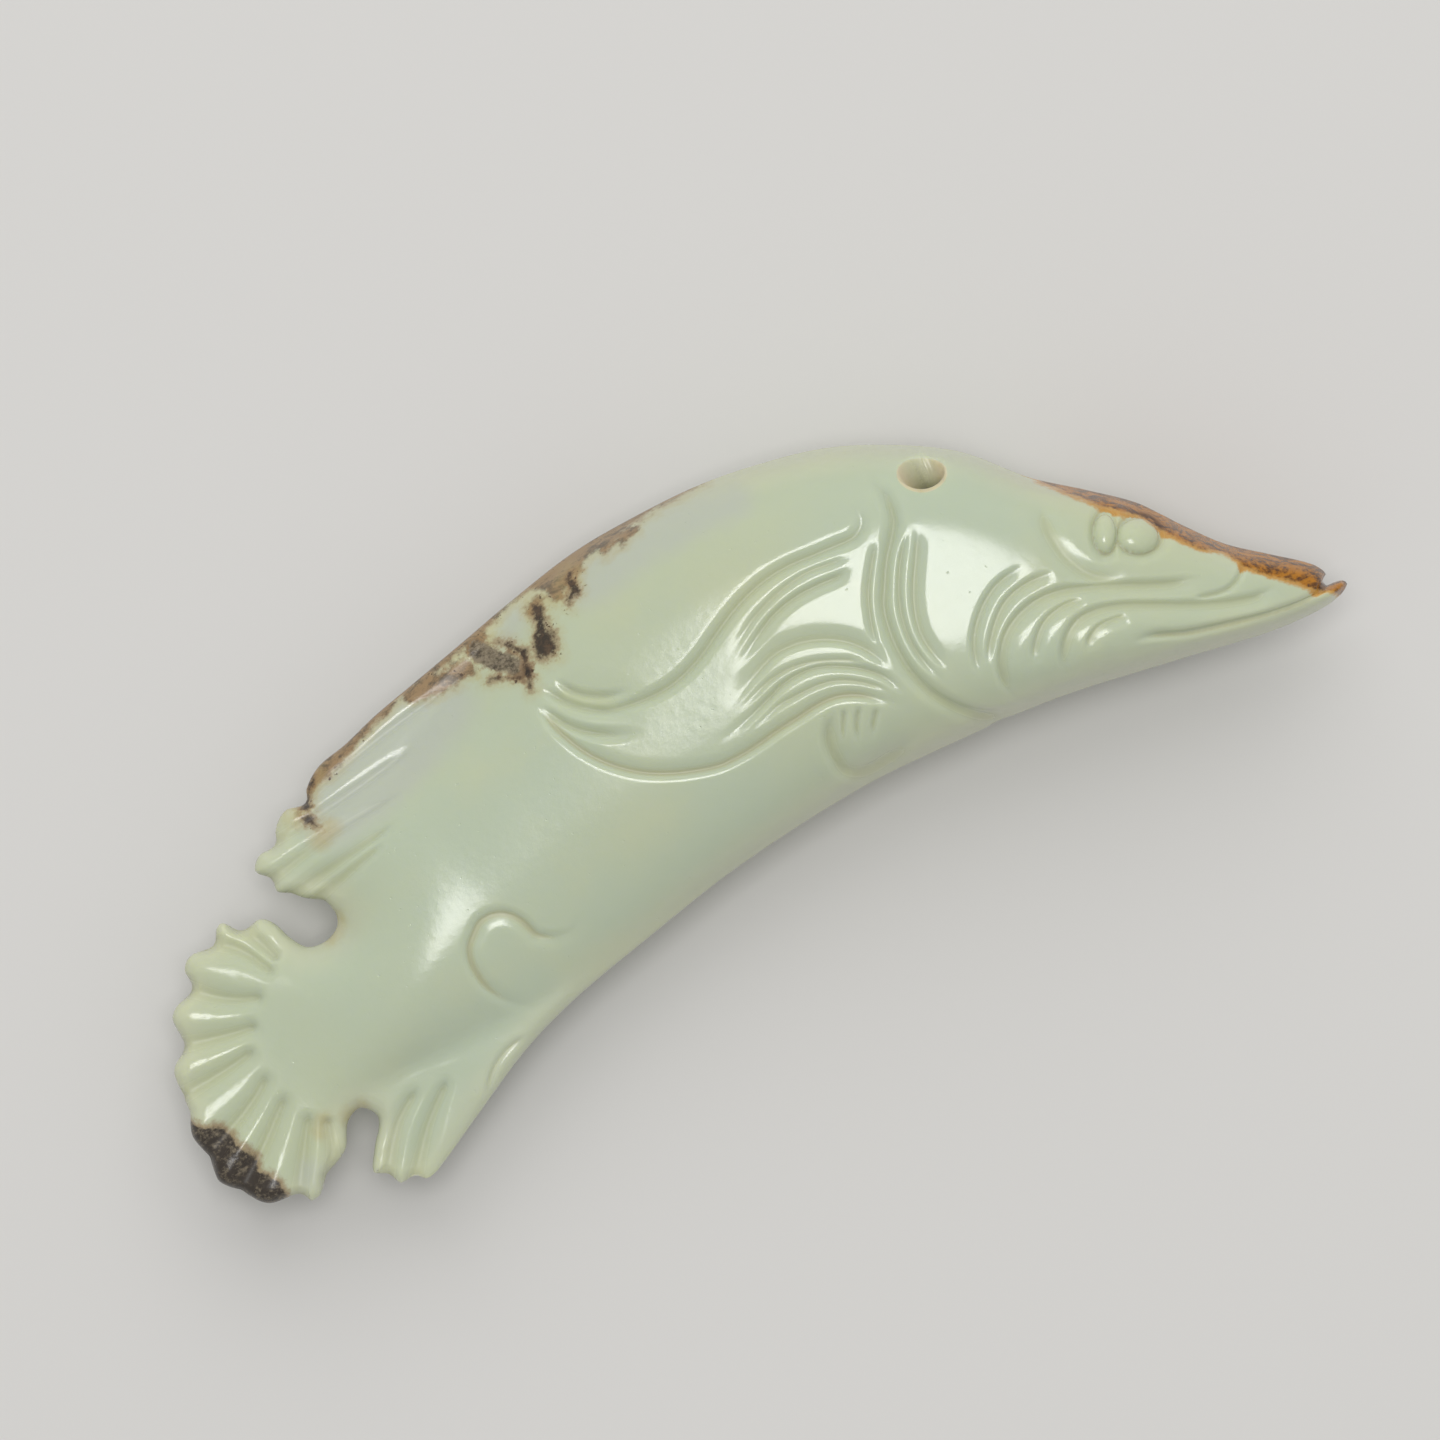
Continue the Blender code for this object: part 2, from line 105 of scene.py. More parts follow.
# Half the thickness along the fish, as a share of the thickest place, then how square its section is,
# and how much it falls away to its edges
RIGHT_SWELL = ((0, 0.10), (50, 0.15), (90, 0.205), (130, 0.295), (180, 0.42), (215, 0.488), (250, 0.52),
               (280, 0.535), (320, 0.595), (350, 0.64), (420, 0.75), (500, 0.855), (560, 0.93),
               (600, 0.975), (650, 1.0), (700, 1.0), (750, 0.995), (790, 0.97), (840, 0.88), (890, 0.73),
               (950, 0.50), (1000, 0.30))
LEFT_SWELL = ((0, 0.10), (50, 0.15), (90, 0.205), (130, 0.30), (180, 0.46), (260, 0.68), (360, 0.86),
              (460, 0.96), (540, 1.0), (650, 1.0), (740, 0.94), (820, 0.80), (890, 0.64), (950, 0.46),
              (1000, 0.30))
FULLNESS = ((0, 2.6), (150, 2.8), (220, 2.1), (300, 2.0), (420, 2.4), (560, 2.9), (650, 3.3), (750, 4.1),
            (850, 4.0), (1000, 3.0))
FALL = ((0, 0.5), (120, 0.55), (190, 0.75), (250, 0.95), (320, 0.8), (430, 0.6), (520, 0.5), (1000, 0.5))

# Where the dorsal and anal fins begin and blend into the body, and how much each thins out
DORSAL_FIN_START = 450
DORSAL_FIN_BLEND = 170
DORSAL_FIN_LOW = -20
DORSAL_FIN_RISE = 110
DORSAL_FIN_HOLLOW = 0.7
DORSAL_FIN_TAPER = 90
DORSAL_EDGE_THINNER = 0.2
ANAL_FIN_TAPER = 110
ANAL_FIN_SPAN = (115, 330)
ANAL_FIN_BLEND = 20
ANAL_FIN_FROM = 0.55

# How finely lines and tables are drawn, and how near to a line a distance is still told apart
LINE_STEP = 4.0
TABLE_STEP = 0.05
TABLE_SPAN = (-100, 1101)
TABLE_SMOOTHING = 12
SMOOTHING_REACH = 50
NO_GAP = 1e-6
LEAST_GAP = 0.3
BATCH = 20000


def flowing_line(guides, step, closed=False):
    """Places about a step apart along a smooth line through the guide points."""
    guides = [Vector(guide) for guide in guides]
    count = len(guides)

    def slope(i):
        before = guides[(i - 1) % count] if closed or i > 0 else guides[i]
        after = guides[(i + 1) % count] if closed or i < count - 1 else guides[i]
        return (after - before) / ((guides[i] - before).length + (after - guides[i]).length)

    line = []
    for i in range(count if closed else count - 1):
        start, end = guides[i], guides[(i + 1) % count]
        third = (end - start).length / 3
        leaves = start + slope(i) * third
        arrives = end - slope((i + 1) % count) * third
        pieces = max(2, round(3 * third / step))
        line += interpolate_bezier(start, leaves, arrives, end, pieces + 1)[:-1]
    if not closed:
        line.append(guides[-1])
    return np.array([(place[0], place[1]) for place in line])


def measure(places, line, closed=False, reach=None):
    """Each place's distance to a line, its side (left is positive) and its share of the way along."""
    if closed:
        line = np.vstack((line, line[:1]))
    nearest = np.full(len(places), np.inf if reach is None else float(reach))
    side = np.ones(len(places))
    along = np.zeros(len(places))
    near = np.arange(len(places))
    for k in range(len(line) - 1):
        if reach is not None:
            low = np.minimum(line[k], line[k + 1]) - reach
            high = np.maximum(line[k], line[k + 1]) + reach
            near = np.flatnonzero((places[:, 0] > low[0]) & (places[:, 0] < high[0])
                                  & (places[:, 1] > low[1]) & (places[:, 1] < high[1]))
        run = line[k + 1] - line[k]
        offset = places[near] - line[k]
        share = np.clip(offset @ run / (run @ run), 0, 1)
        gap = offset - share[:, None] * run
        distance = np.hypot(gap[:, 0], gap[:, 1])
        closer = distance < nearest[near]
        found = near[closer]
        nearest[found] = distance[closer]
        side[found] = np.sign(run[0] * offset[closer, 1] - run[1] * offset[closer, 0])
        along[found] = (k + share[closer]) / (len(line) - 1)
    return nearest, side, along


def ease(value):
    """A smooth climb from 0 to 1."""
    value = np.clip(value, 0, 1)
    return value ** 3 * (10 - 15 * value + 6 * value ** 2)


def table(guides, at):
    """A smooth curve through a table's points, read at each place."""
    curve = flowing_line(guides, TABLE_STEP)
    whole = np.arange(*TABLE_SPAN)
    bell = np.exp(-0.5 * (np.arange(-SMOOTHING_REACH, SMOOTHING_REACH + 1) / TABLE_SMOOTHING) ** 2)
    smooth = np.convolve(np.interp(whole, curve[:, 0], curve[:, 1]), bell / bell.sum(), mode="same")
    return np.interp(at, whole, smooth)


def lobed_edge(lobes, grooves):
    """A fin's edge: a lobe, the notch at a groove's end, the next lobe and so on."""
    edge = []
    for i, lobe in enumerate(lobes):
        edge += lobe
        if i < len(grooves):
            edge.append(grooves[i][-1])
    return edge


def soft_distance(places, line):
    """Distance to a line, rounded off where two parts of the line are about as near as each other."""
    start, run = line[:-1], np.diff(line, axis=0)
    length = np.hypot(run[:, 0], run[:, 1])
    run = run / length[:, None]
    distance = np.empty(len(places))
    for first in range(0, len(places), BATCH):
        offset = places[first:first + BATCH, None] - start
        past = offset[..., 0] * run[:, 0] + offset[..., 1] * run[:, 1]
        off = offset[..., 0] * run[:, 1] - offset[..., 1] * run[:, 0]
        square = np.maximum(off ** 2, LEAST_GAP ** 2)
        ahead = length - past
        pull = ahead * (3 * square + 2 * ahead ** 2) / (square + ahead ** 2) ** 1.5
        pull += past * (3 * square + 2 * past ** 2) / (square + past ** 2) ** 1.5
        distance[first:first + BATCH] = (4 / (pull / square ** 2).sum(axis=1)) ** 0.25
    return distance


def flank_heights(places, outline):
    """Height of the smooth right and left flanks over the middle plane, in shares."""
    upper = flowing_line((MOUTH_TIP[-1], *HEAD_TOP, *BACK, DORSAL_LOBES[0][0], *DORSAL_LOBES[2],
                          DORSAL_LOBES[-2][0], *DORSAL_NOTCH[1:], TAIL_LOBES[0][0], TAIL_LOBES[1][0],
                          TAIL_LOBES[2][1], TAIL_LOBES[3][1], TAIL_LOBES[5][1]), LINE_STEP)
    lower = flowing_line((MOUTH_TIP[0], *BELLY[:1:-1], *ANAL_FIN_ROOT[1:], VENTRAL_NOTCH[0],
                          *[lobe[0] for lobe in TAIL_LOBES[:5:-1]], TAIL_LOBES[5][1]), LINE_STEP)
    belly = flowing_line((MOUTH_TIP[0], *BELLY[:1:-1], *ANAL_FIN_ROOT[1:], VENTRAL_NOTCH[0]), LINE_STEP)
    from_upper, from_lower = soft_distance(places, upper), soft_distance(places, lower)
    _, belly_side, _ = measure(places, belly)
    from_edge, _, _ = measure(places, outline, closed=True, reach=FIN_EDGE_ROUND / SHARE)
    across = from_upper / (from_upper + from_lower)
    in_dorsal_fin = ease((DORSAL_FIN_START - places[:, 0]) / DORSAL_FIN_BLEND)
    in_dorsal_fin *= ease((places[:, 1] - DORSAL_FIN_LOW) / DORSAL_FIN_RISE)
    hollow = DORSAL_FIN_HOLLOW * in_dorsal_fin * ease(1 - 2 * across)
    flank = np.clip(1 - np.abs(2 * across - 1) ** table(FULLNESS, places[:, 0]), 0, 1)
    flank **= table(FALL, places[:, 0]) + hollow
    in_anal_fin = (belly_side > 0) & (places[:, 0] > VENTRAL_NOTCH[0][0])
    flank[in_anal_fin] = 0
    by_anal_fin = ease((places[:, 0] - ANAL_FIN_SPAN[0]) / ANAL_FIN_BLEND)
    by_anal_fin *= ease((ANAL_FIN_SPAN[1] - places[:, 0]) / ANAL_FIN_BLEND)
    by_anal_fin *= ease(2 * (across - ANAL_FIN_FROM))
    taper = np.where(in_anal_fin, -1, by_anal_fin) * from_lower / ANAL_FIN_TAPER
    taper += in_dorsal_fin * (from_upper / DORSAL_FIN_TAPER - DORSAL_EDGE_THINNER) * ~in_anal_fin
    fin = FIN_THICKNESS / 2 / SHARE * (1 + taper)
    rim = 1 - np.clip(from_edge * SHARE / FIN_EDGE_ROUND, 0, 1)
    heights = []
    for swell in (RIGHT_SWELL, LEFT_SWELL):
        body = table(swell, places[:, 0]) * THICKNESS / 2 / SHARE * flank
        fillet = FIN_FILLET * fin / (body + fin)
        blended = (body + fin + np.sqrt((body - fin) ** 2 + fillet ** 2 / 4)) / 2
        heights.append(blended * np.sqrt(1 - rim * rim))
    return heights


# The carving. Every line is cut with a small wheel and then polished by hand, so that the stone beside
# it rounds over softly. Each is given as the width to its left, the width to its right and the depth, in
# millimetres, the parts of its way over which it fades in and out, and its guide points.
MILLIMETRE = 0.001
MM = MILLIMETRE / SHARE

GILL_CUTS = (
    (0.95, 0.95, 0.58, 0.2, 0.15, ((684, 151), (697, 142), (704, 132), (705, 119), (702, 105), (695, 94),
     (684, 80), (674, 63), (666, 48), (662, 30), (661, 11), (663, -7), (668, -23), (674, -35), (685, -50),
     (702, -64), (731, -73))),
    (0.50, 0.60, 0.36, 0.2, 0.3, ((711, 96), (698, 81), (688, 66), (680, 50), (675, 34), (673, 14),
     (676, -6), (684, -28))),
    (1.10, 0.50, 0.32, 0.2, 0.3, ((719, 96), (707, 76), (698, 61), (690, 46), (684, 29), (682, 13),
     (685, -4), (693, -26))),
    (0.45, 0.60, 0.30, 0.2, 0.3, ((686, 100), (673, 83), (661, 65), (654, 48), (649, 29), (649, 14))),
)
WING_CUTS = (
    (0.75, 0.90, 0.46, 0.15, 0.15, ((670, 136), (679, 126), (679, 114), (669, 107), (653, 107), (634, 108),
     (612, 109), (592, 107), (571, 101), (555, 94), (540, 86), (524, 77), (505, 69), (486, 65), (466, 65),
     (446, 68), (430, 75), (417, 88), (410, 103))),
    (0.50, 0.50, 0.22, 0.2, 0.4, ((664, 94), (645, 96), (624, 98), (603, 95), (586, 90), (571, 84),
     (554, 74), (535, 63))),
    (0.95, 0.50, 0.36, 0.2, 0.4, ((662, 86), (645, 85), (626, 86), (606, 85), (586, 80), (570, 72),
     (555, 63), (536, 52))),
    (0.55, 1.40, 0.36, 0.2, 0.4, ((651, -1), (643, 17), (633, 31), (619, 42), (603, 49), (587, 52),
     (572, 51), (556, 45), (538, 37), (517, 28))),
    (0.45, 0.50, 0.22, 0.2, 0.4, ((637, 10), (626, 21), (606, 31), (589, 36), (573, 37), (556, 34),
     (542, 29), (524, 22))),
    (0.55, 0.60, 0.38, 0.2, 0.4, ((654, -24), (643, -2), (631, 11), (616, 21), (600, 28), (584, 30),
     (568, 28), (554, 23), (536, 17), (516, 12), (498, 10))),
    (0.50, 0.50, 0.22, 0.2, 0.4, ((645, -22), (636, -7), (622, 5), (607, 13), (592, 16), (574, 16),
     (559, 15), (542, 10), (523, 6))),
    (0.60, 1.10, 0.36, 0.15, 0.1, ((652, -34), (634, -17), (618, -5), (603, 1), (587, 2), (571, 0),
     (553, -2), (535, -5), (517, -7), (498, -7), (478, -2), (457, 6), (438, 17), (421, 32), (408, 49),
     (398, 70), (393, 88), (391, 106))),
)
WING_TIP_CUTS = (
    (2.80, 2.80, 0.36, 0.30, 0.6, ((400, 114), (411, 97), (429, 83), (452, 69), (478, 60))),
    (0.95, 0.70, 0.56, 0.25, 0.5, ((410, 114), (418, 98), (430, 87), (447, 79), (470, 76))),
    (1.05, 0.80, 0.60, 0.25, 0.5, ((399, 113), (404, 102), (412, 90), (426, 77), (446, 65), (469, 57))),
    (1.05, 0.80, 0.56, 0.25, 0.5, ((393, 103), (396, 90), (404, 75), (418, 61), (439, 49), (462, 42))),
)
LEAF_CUTS = (
    (1.80, 0.80, 0.50, 0.25, 0.3, ((605, -7), (593, -11), (585, -20), (581, -31), (581, -44), (583, -53),
     (590, -59), (601, -62), (616, -61), (631, -59), (644, -55), (655, -49))),
    (0.45, 0.45, 0.24, 0.3, 0.5, ((605, -7), (600, -16), (594, -27), (591, -40))),
    (0.45, 0.45, 0.24, 0.3, 0.5, ((617, -11), (610, -20), (605, -30), (602, -42))),
    (0.45, 0.45, 0.22, 0.3, 0.5, ((629, -18), (622, -26), (616, -35), (612, -44))),
)
CHEEK_CUTS = (
    (1.00, 0.45, 0.28, 0.25, 0.25, ((782, 29), (770, 29), (753, 26), (738, 18), (725, 6), (716, -7),
     (711, -22), (710, -36))),
    (1.15, 0.45, 0.30, 0.25, 0.25, ((801, 13), (787, 16), (769, 16), (752, 11), (738, 0), (727, -13),
     (721, -23), (718, -34))),
    (1.50, 0.60, 0.42, 0.15, 0.15, ((906, -42), (885, -36), (862, -27), (838, -16), (808, -4), (789, 1),
     (771, 1), (754, -4), (740, -13), (730, -26), (725, -40), (726, -54), (733, -70))),
    (1.10, 0.50, 0.30, 0.25, 0.25, ((816, -17), (801, -12), (786, -12), (773, -16), (763, -24),
     (754, -36), (750, -48))),
    (1.45, 0.60, 0.40, 0.12, 0.15, ((950, -68), (944, -71), (931, -71), (909, -65), (884, -55), (855, -41),
     (833, -31), (815, -26), (798, -26), (785, -33), (775, -45), (772, -58), (775, -71))),
    (1.05, 0.45, 0.28, 0.25, 0.25, ((839, -41), (824, -38), (809, -38), (798, -44), (791, -54))),
    (0.45, 0.45, 0.28, 0.05, 0.3, ((932, -44), (924, -52), (913, -56), (900, -55), (881, -49))),
)
MOUTH_CUTS = (
    (0.70, 0.40, 0.46, 0.2, 0.02, ((821, -65), (829, -61), (844, -64), (869, -74), (901, -82),
     (934, -89), (962, -92), (978, -90), (992, -82))),
)
PELVIC_CUTS = (
    (1.10, 0.70, 0.30, 0.3, 0.35, ((353, -60), (350, -65), (344, -69), (335, -72), (326, -71), (317, -66),
     (312, -61), (309, -52), (305, -44), (298, -37), (288, -33), (277, -34), (269, -40), (261, -48),
     (257, -59), (257, -69), (259, -81), (265, -93), (273, -103), (285, -111), (299, -117))),
)
ANAL_CUTS = (
    (0.50, 0.50, 0.22, 0.25, 0.35, ((273, -129), (257, -132), (244, -137), (234, -144), (226, -153),
     (219, -164))),
)
SOCKET_CUTS = (
    (1.30, 1.60, 0.34, 0.3, 0.35, ((814, 78), (809, 66), (807, 52), (807, 36), (811, 17), (822, -1),
     (840, -12), (860, -18))),
)

# The fins' rays: the widths at their start and end, the depth, the part over which they fade in
RAY_CUTS = (
    (0.85, 2.20, 0.68, 0.18, TAIL_GROOVES),
    (0.70, 1.90, 0.55, 0.20, ANAL_GROOVES),
    (0.50, 1.40, 0.34, 0.30, DORSAL_GROOVES),
)
RAY_START_DEPTH = 0.6

# How a cut rounds over, how narrow its floor is, how cuts that cross join, and the left flank's depth
SHOULDER_POWER = 1.7
LINE_FLOOR = 0.14
UNION = 5
UNDER_CARVING = 0.8

# The eye: a large round lobe and a narrower one behind it, standing in a cut ring
EYE_LOBES = (((869, 12), 16.4, 14.0), ((846, 25), 9.0, 15.6))
EYE_TILT = math.radians(-26)
EYE_SUNK = 0.46
EYE_RISE = 0.95
EYE_RING_WIDTH = 1.1

RIGHT_CUTS = (GILL_CUTS + WING_CUTS + WING_TIP_CUTS + LEAF_CUTS + CHEEK_CUTS + SOCKET_CUTS + MOUTH_CUTS
              + PELVIC_CUTS + ANAL_CUTS)
LEFT_CUTS = (GILL_CUTS[:1] + WING_CUTS[:1] + WING_CUTS[7:] + CHEEK_CUTS[2:3] + CHEEK_CUTS[4:5]
             + MOUTH_CUTS + PELVIC_CUTS[:1] + ANAL_CUTS)
STAINED_CUTS = WING_CUTS[7:] + PELVIC_CUTS[:1] + MOUTH_CUTS


def near_line(places, line, width):
    """The numbers of the places that a line's channel can touch."""
    low, high = line.min(axis=0) - width, line.max(axis=0) + width
    return np.flatnonzero(np.all((places > low) & (places < high), axis=1))


def eye_reach(places):
    """How far each place is from the middle of the eye's lobes: under 1 is inside one."""
    reach = np.full(len(places), np.inf)
    cos, sin = math.cos(EYE_TILT), math.sin(EYE_TILT)
    for centre, long, high in EYE_LOBES:
        offset = places - centre
        u = (offset[:, 0] * cos + offset[:, 1] * sin) / long
        v = (offset[:, 1] * cos - offset[:, 0] * sin) / high
        reach = np.minimum(reach, np.hypot(u, v))
    return reach


def channel(reach):
    """A cut's depth across it: a narrow round floor, and shoulders that round over to the surface."""
    depth = 1 + LINE_FLOOR - np.sqrt(reach ** 2 + LINE_FLOOR ** 2)
    return np.clip(depth, 0, 1) ** SHOULDER_POWER


def carved_depth(places, cuts, ray_cuts=RAY_CUTS):
    """Depth in millimetres that is cut away at each place, and how near it is to a line's floor."""
    total = np.zeros(len(places))
    floor = np.zeros(len(places))
    for left, right, depth, fade_in, fade_out, guides in cuts:
        line = flowing_line(guides, LINE_STEP)
        near = near_line(places, line, max(left, right) * MM)
        distance, side, along = measure(places[near], line)
        section = channel(distance / np.where(side > 0, left, right) / MM)
        fade = ease(along / fade_in) * ease((1 - along) / fade_out)
        total[near] += (depth * section * fade) ** UNION
        floor[near] = np.maximum(floor[near], section * fade)
    for start, end, depth, fade_in, grooves in ray_cuts:
        for guides in grooves:
            line = flowing_line(guides, LINE_STEP)
            near = near_line(places, line, end * MM)
            distance, _, along = measure(places[near], line)
            section = channel(distance / (start + (end - start) * along) / MM)
            deepening = RAY_START_DEPTH + (1 - RAY_START_DEPTH) * along
            total[near] += (depth * section * ease(along / fade_in) * deepening) ** UNION
            floor[near] = np.maximum(floor[near], section * ease(along / fade_in))
    reach = eye_reach(places)
    mean_radius = EYE_LOBES[1][2] / MM
    ring = np.where(reach < 1, 0, channel(np.maximum(reach - 1, 0) * mean_radius / EYE_RING_WIDTH))
    total += (EYE_SUNK * ring) ** UNION
    cut = total ** (1 / UNION)
    dome = EYE_SUNK - EYE_RISE * np.sqrt(np.clip(1 - reach ** 2, 0, 1))
    return np.where(reach < 1, dome, cut), np.maximum(floor, ring)


# The skins and patches that the pebble keeps: the borders of the russet on the head, of the brown along
# the back and of the dark tail corner, and rounded spots as a radius and a line, all in shares.
RUSSET_BORDER = ((790, 128), (819, 82), (835, 62), (851, 45), (863, 34), (876, 24), (885, 7), (898, -10),
                 (910, -22), (921, -29), (930, -46), (949, -64), (973, -87), (984, -94), (992, -101),
                 (1010, -110))
BACK_SKIN_FROM = ((180, 98), (200, 111), (227, 119), (263, 136), (298, 147), (340, 156), (369, 162),
                  (388, 168), (403, 177), (422, 179), (438, 172), (452, 166), (463, 172), (475, 182),
                  (501, 185), (530, 192), (587, 196))
TAIL_DARK_BORDER = ((-10, -50), (2, -55), (3, -68), (6, -78), (14, -85), (22, -88), (29, -98), (30, -108),
                    (37, -115), (38, -126), (36, -132), (43, -140), (47, -149), (47, -159), (48, -167),
                    (50, -185))
DARK_SPOTS = (
    (6.0, ((424, 164), (421, 155), (419, 145))),
    (9.5, ((419, 141), (416, 134))),
    (3.4, ((384, 155), (393, 147), (399, 139), (396, 127), (393, 112))),
    (2.2, ((366, 133), (378, 128), (387, 122))),
    (3.4, ((459, 179), (455, 173), (457, 166), (452, 163), (448, 159))),
    (4.5, ((195, 114), (194, 108))),
    (4.5, ((192, 95), (195, 89))),
    (2.0, ((212, 126), (198, 112))),
)
GREY_SPOTS = ((10.0, ((368, 154), (381, 141), (391, 129))),)
BROWN_SPOTS = (
    (9.5, ((304, 153), (328, 147), (354, 149))),
    (9.0, ((443, 172), (462, 182))),
    (5.0, ((517, 187), (490, 184))),
    (6.0, ((428, 172), (418, 166))),
    (7.0, ((362, 160), (376, 164))),
)
MILKY_PATCHES = (
    (30.0, ((322, 130), (280, 116), (245, 102), (212, 92))),
    (11.0, ((405, 166), (394, 156))),
    (7.0, ((73, -150), (68, -156))),
    (18.0, ((462, 166), (530, 174), (600, 172))),
)
WARM_TINTS = (
    (6.0, ((176, 16), (166, 6))),
    (5.0, ((118, -126), (130, -124))),
    (7.0, ((205, 82), (192, 78))),
    (4.0, ((100, -118), (92, -128))),
)

# Where the back's skin ends along the fish, and how far off an edge or a spot no longer matters
BACK_SKIN_SPAN = (186, 590)
BACK_SKIN_END_SLOPE = 3
EDGE_REACH = 40.0
FAR_OUTSIDE = -9.0

# The finished surface. Each flank is a field of places, closer together where the carving is, joined
# along the outline. The carving and the slight unevenness of the hand polish move it along its normal.
# Rings, margins and bands beside a line are in millimetres, and gaps between places in their steps.
RIM_STEP = 0.24 * MM
RIM_RINGS = (0.03, 0.10, 0.22, 0.42)
RING_REACH = 3 * RIM_STEP
RING_CLEAR = 0.97
RIM_GAP = 0.6
RIGHT_STEP = 0.15 * MM
LEFT_STEP = 0.26 * MM
WIDEST_FINE = 1.0
COARSEST = 4
MIDDLE_BAND = 3
CUT_MARGIN = 0.12
BORDER_BAND = 0.6
INSIDE_ONLY = 1
POLISH_WAVE = 0.000012
POLISH_SIZE = 0.004


def field_of_places(outline, cuts, step, marks):
    """Places on one flank, first the outline, then rings inside it, then a graded hexagonal field."""
    after = np.roll(outline, -1, axis=0) - np.roll(outline, 1, axis=0)
    inward = np.stack((-after[:, 1], after[:, 0]), axis=1) / np.hypot(after[:, 0], after[:, 1])[:, None]
    rings = []
    for inset in RIM_RINGS:
        ring = outline + inward * inset * MM
        distance, _, _ = measure(ring, outline, closed=True, reach=RING_REACH)
        rings.append(ring[distance > RING_CLEAR * inset * MM])
    low, high = outline.min(axis=0), outline.max(axis=0)
    rows = int((high[1] - low[1]) / (step * math.sqrt(3) / 2)) + 1
    columns = int((high[0] - low[0]) / step) + 2
    column, row = [grid.ravel() for grid in np.meshgrid(np.arange(columns), np.arange(rows))]
    field = np.stack((low[0] + (column + 0.5 * (row % 2)) * step,
                      low[1] + row * step * math.sqrt(3) / 2), axis=-1)
    clearance = np.full(len(field), np.inf)
    reach = step * COARSEST * 2
    widths = [(max(left, right), guides) for left, right, _, _, _, guides in cuts]
    widths += [(end, guides) for _, end, _, _, grooves in RAY_CUTS for guides in grooves]
    widths += marks
    for width, guides in widths:
        line = flowing_line(guides, LINE_STEP)
        width = min(width, WIDEST_FINE)
        near = near_line(field, line, width * MM + reach)
        distance, _, _ = measure(field[near], line)
        clearance[near] = np.minimum(clearance[near], distance - width * MM)
    eye = (eye_reach(field) - 1) * EYE_LOBES[1][2] - EYE_RING_WIDTH * MM
    clearance = np.minimum(clearance, eye) - CUT_MARGIN * MM
    keep = clearance < 0
    for level in (2, COARSEST):
        on_row = row % level == 0
        on_column = (column - (level // 2) * ((row // level) % 2)) % level == 0
        widest = MIDDLE_BAND * step if level < COARSEST else np.inf
        keep |= on_row & on_column & (clearance < widest)
    field, clearance = field[keep], clearance[keep]
    beyond = np.where(clearance < MIDDLE_BAND * step, 2 * step, COARSEST * step)
    spacing = np.where(clearance < 0, step, beyond)
    distance, _, _ = measure(field, outline, closed=True, reach=reach)
    rim_clear = RIM_RINGS[-1] * MM + RIM_GAP * np.minimum(spacing, 2 * step)
    return np.vstack((outline, *rings, field[distance > rim_clear]))


def flank_sheet(outline, cuts, step, marks):
    """One flank's places and triangles. The outline's own places come first."""
    places = field_of_places(outline, cuts, step, marks)
    ring = len(outline)
    edges = [(i, (i + 1) % ring) for i in range(ring)]
    points = [Vector(place) for place in places]
    found, _, faces, _, _, _ = delaunay_2d_cdt(points, edges, [], INSIDE_ONLY, NO_GAP)
    used = sorted({corner for face in faces for corner in face})
    renumbered = {corner: i for i, corner in enumerate(used)}
    plan = np.array([tuple(found[corner]) for corner in used])
    return plan, [tuple(renumbered[corner] for corner in face) for face in faces]


def smooth_pebble():
    """The pebble before carving, with the depth to cut at each vertex as an attribute."""
    guides = [*HEAD_TOP, *BACK, *lobed_edge(DORSAL_LOBES, DORSAL_GROOVES), *DORSAL_NOTCH,
              *lobed_edge(TAIL_LOBES, TAIL_GROOVES), *VENTRAL_NOTCH,
              *lobed_edge(ANAL_LOBES, ANAL_GROOVES), *BELLY, *MOUTH_TIP]
    outline = flowing_line(guides, RIM_STEP, closed=True)
    ring = len(outline)
    marks = [(radius / MM, guides) for radius, guides in DARK_SPOTS + GREY_SPOTS + BROWN_SPOTS]
    marks += [(BORDER_BAND, border) for border in (RUSSET_BORDER, TAIL_DARK_BORDER)]
    right, right_faces = flank_sheet(outline, RIGHT_CUTS, RIGHT_STEP, marks)
    left, left_faces = flank_sheet(outline, LEFT_CUTS, LEFT_STEP, [])
    up = flank_heights(right, outline)[0]
    down = -flank_heights(left, outline)[1]
    up[:ring] = 0
    below = np.arange(len(left)) + len(right) - ring
    below[:ring] = np.arange(ring)
    faces = right_faces + [tuple(int(below[i]) for i in reversed(face)) for face in left_faces]
    vertices = np.vstack((np.column_stack((right, up)), np.column_stack((left, down))[ring:]))
    cut = np.concatenate((carved_depth(right, RIGHT_CUTS)[0], carved_depth(left, LEFT_CUTS)[0][ring:]))
    cut[len(right):] *= UNDER_CARVING
    mesh = bpy.data.meshes.new("pebble")
    mesh.from_pydata((vertices * SHARE).tolist(), [], faces)
    depth = (cut * MILLIMETRE).astype(np.float32)
    mesh.attributes.new("cut", "FLOAT", "POINT").data.foreach_set("value", depth)
    return mesh, outline


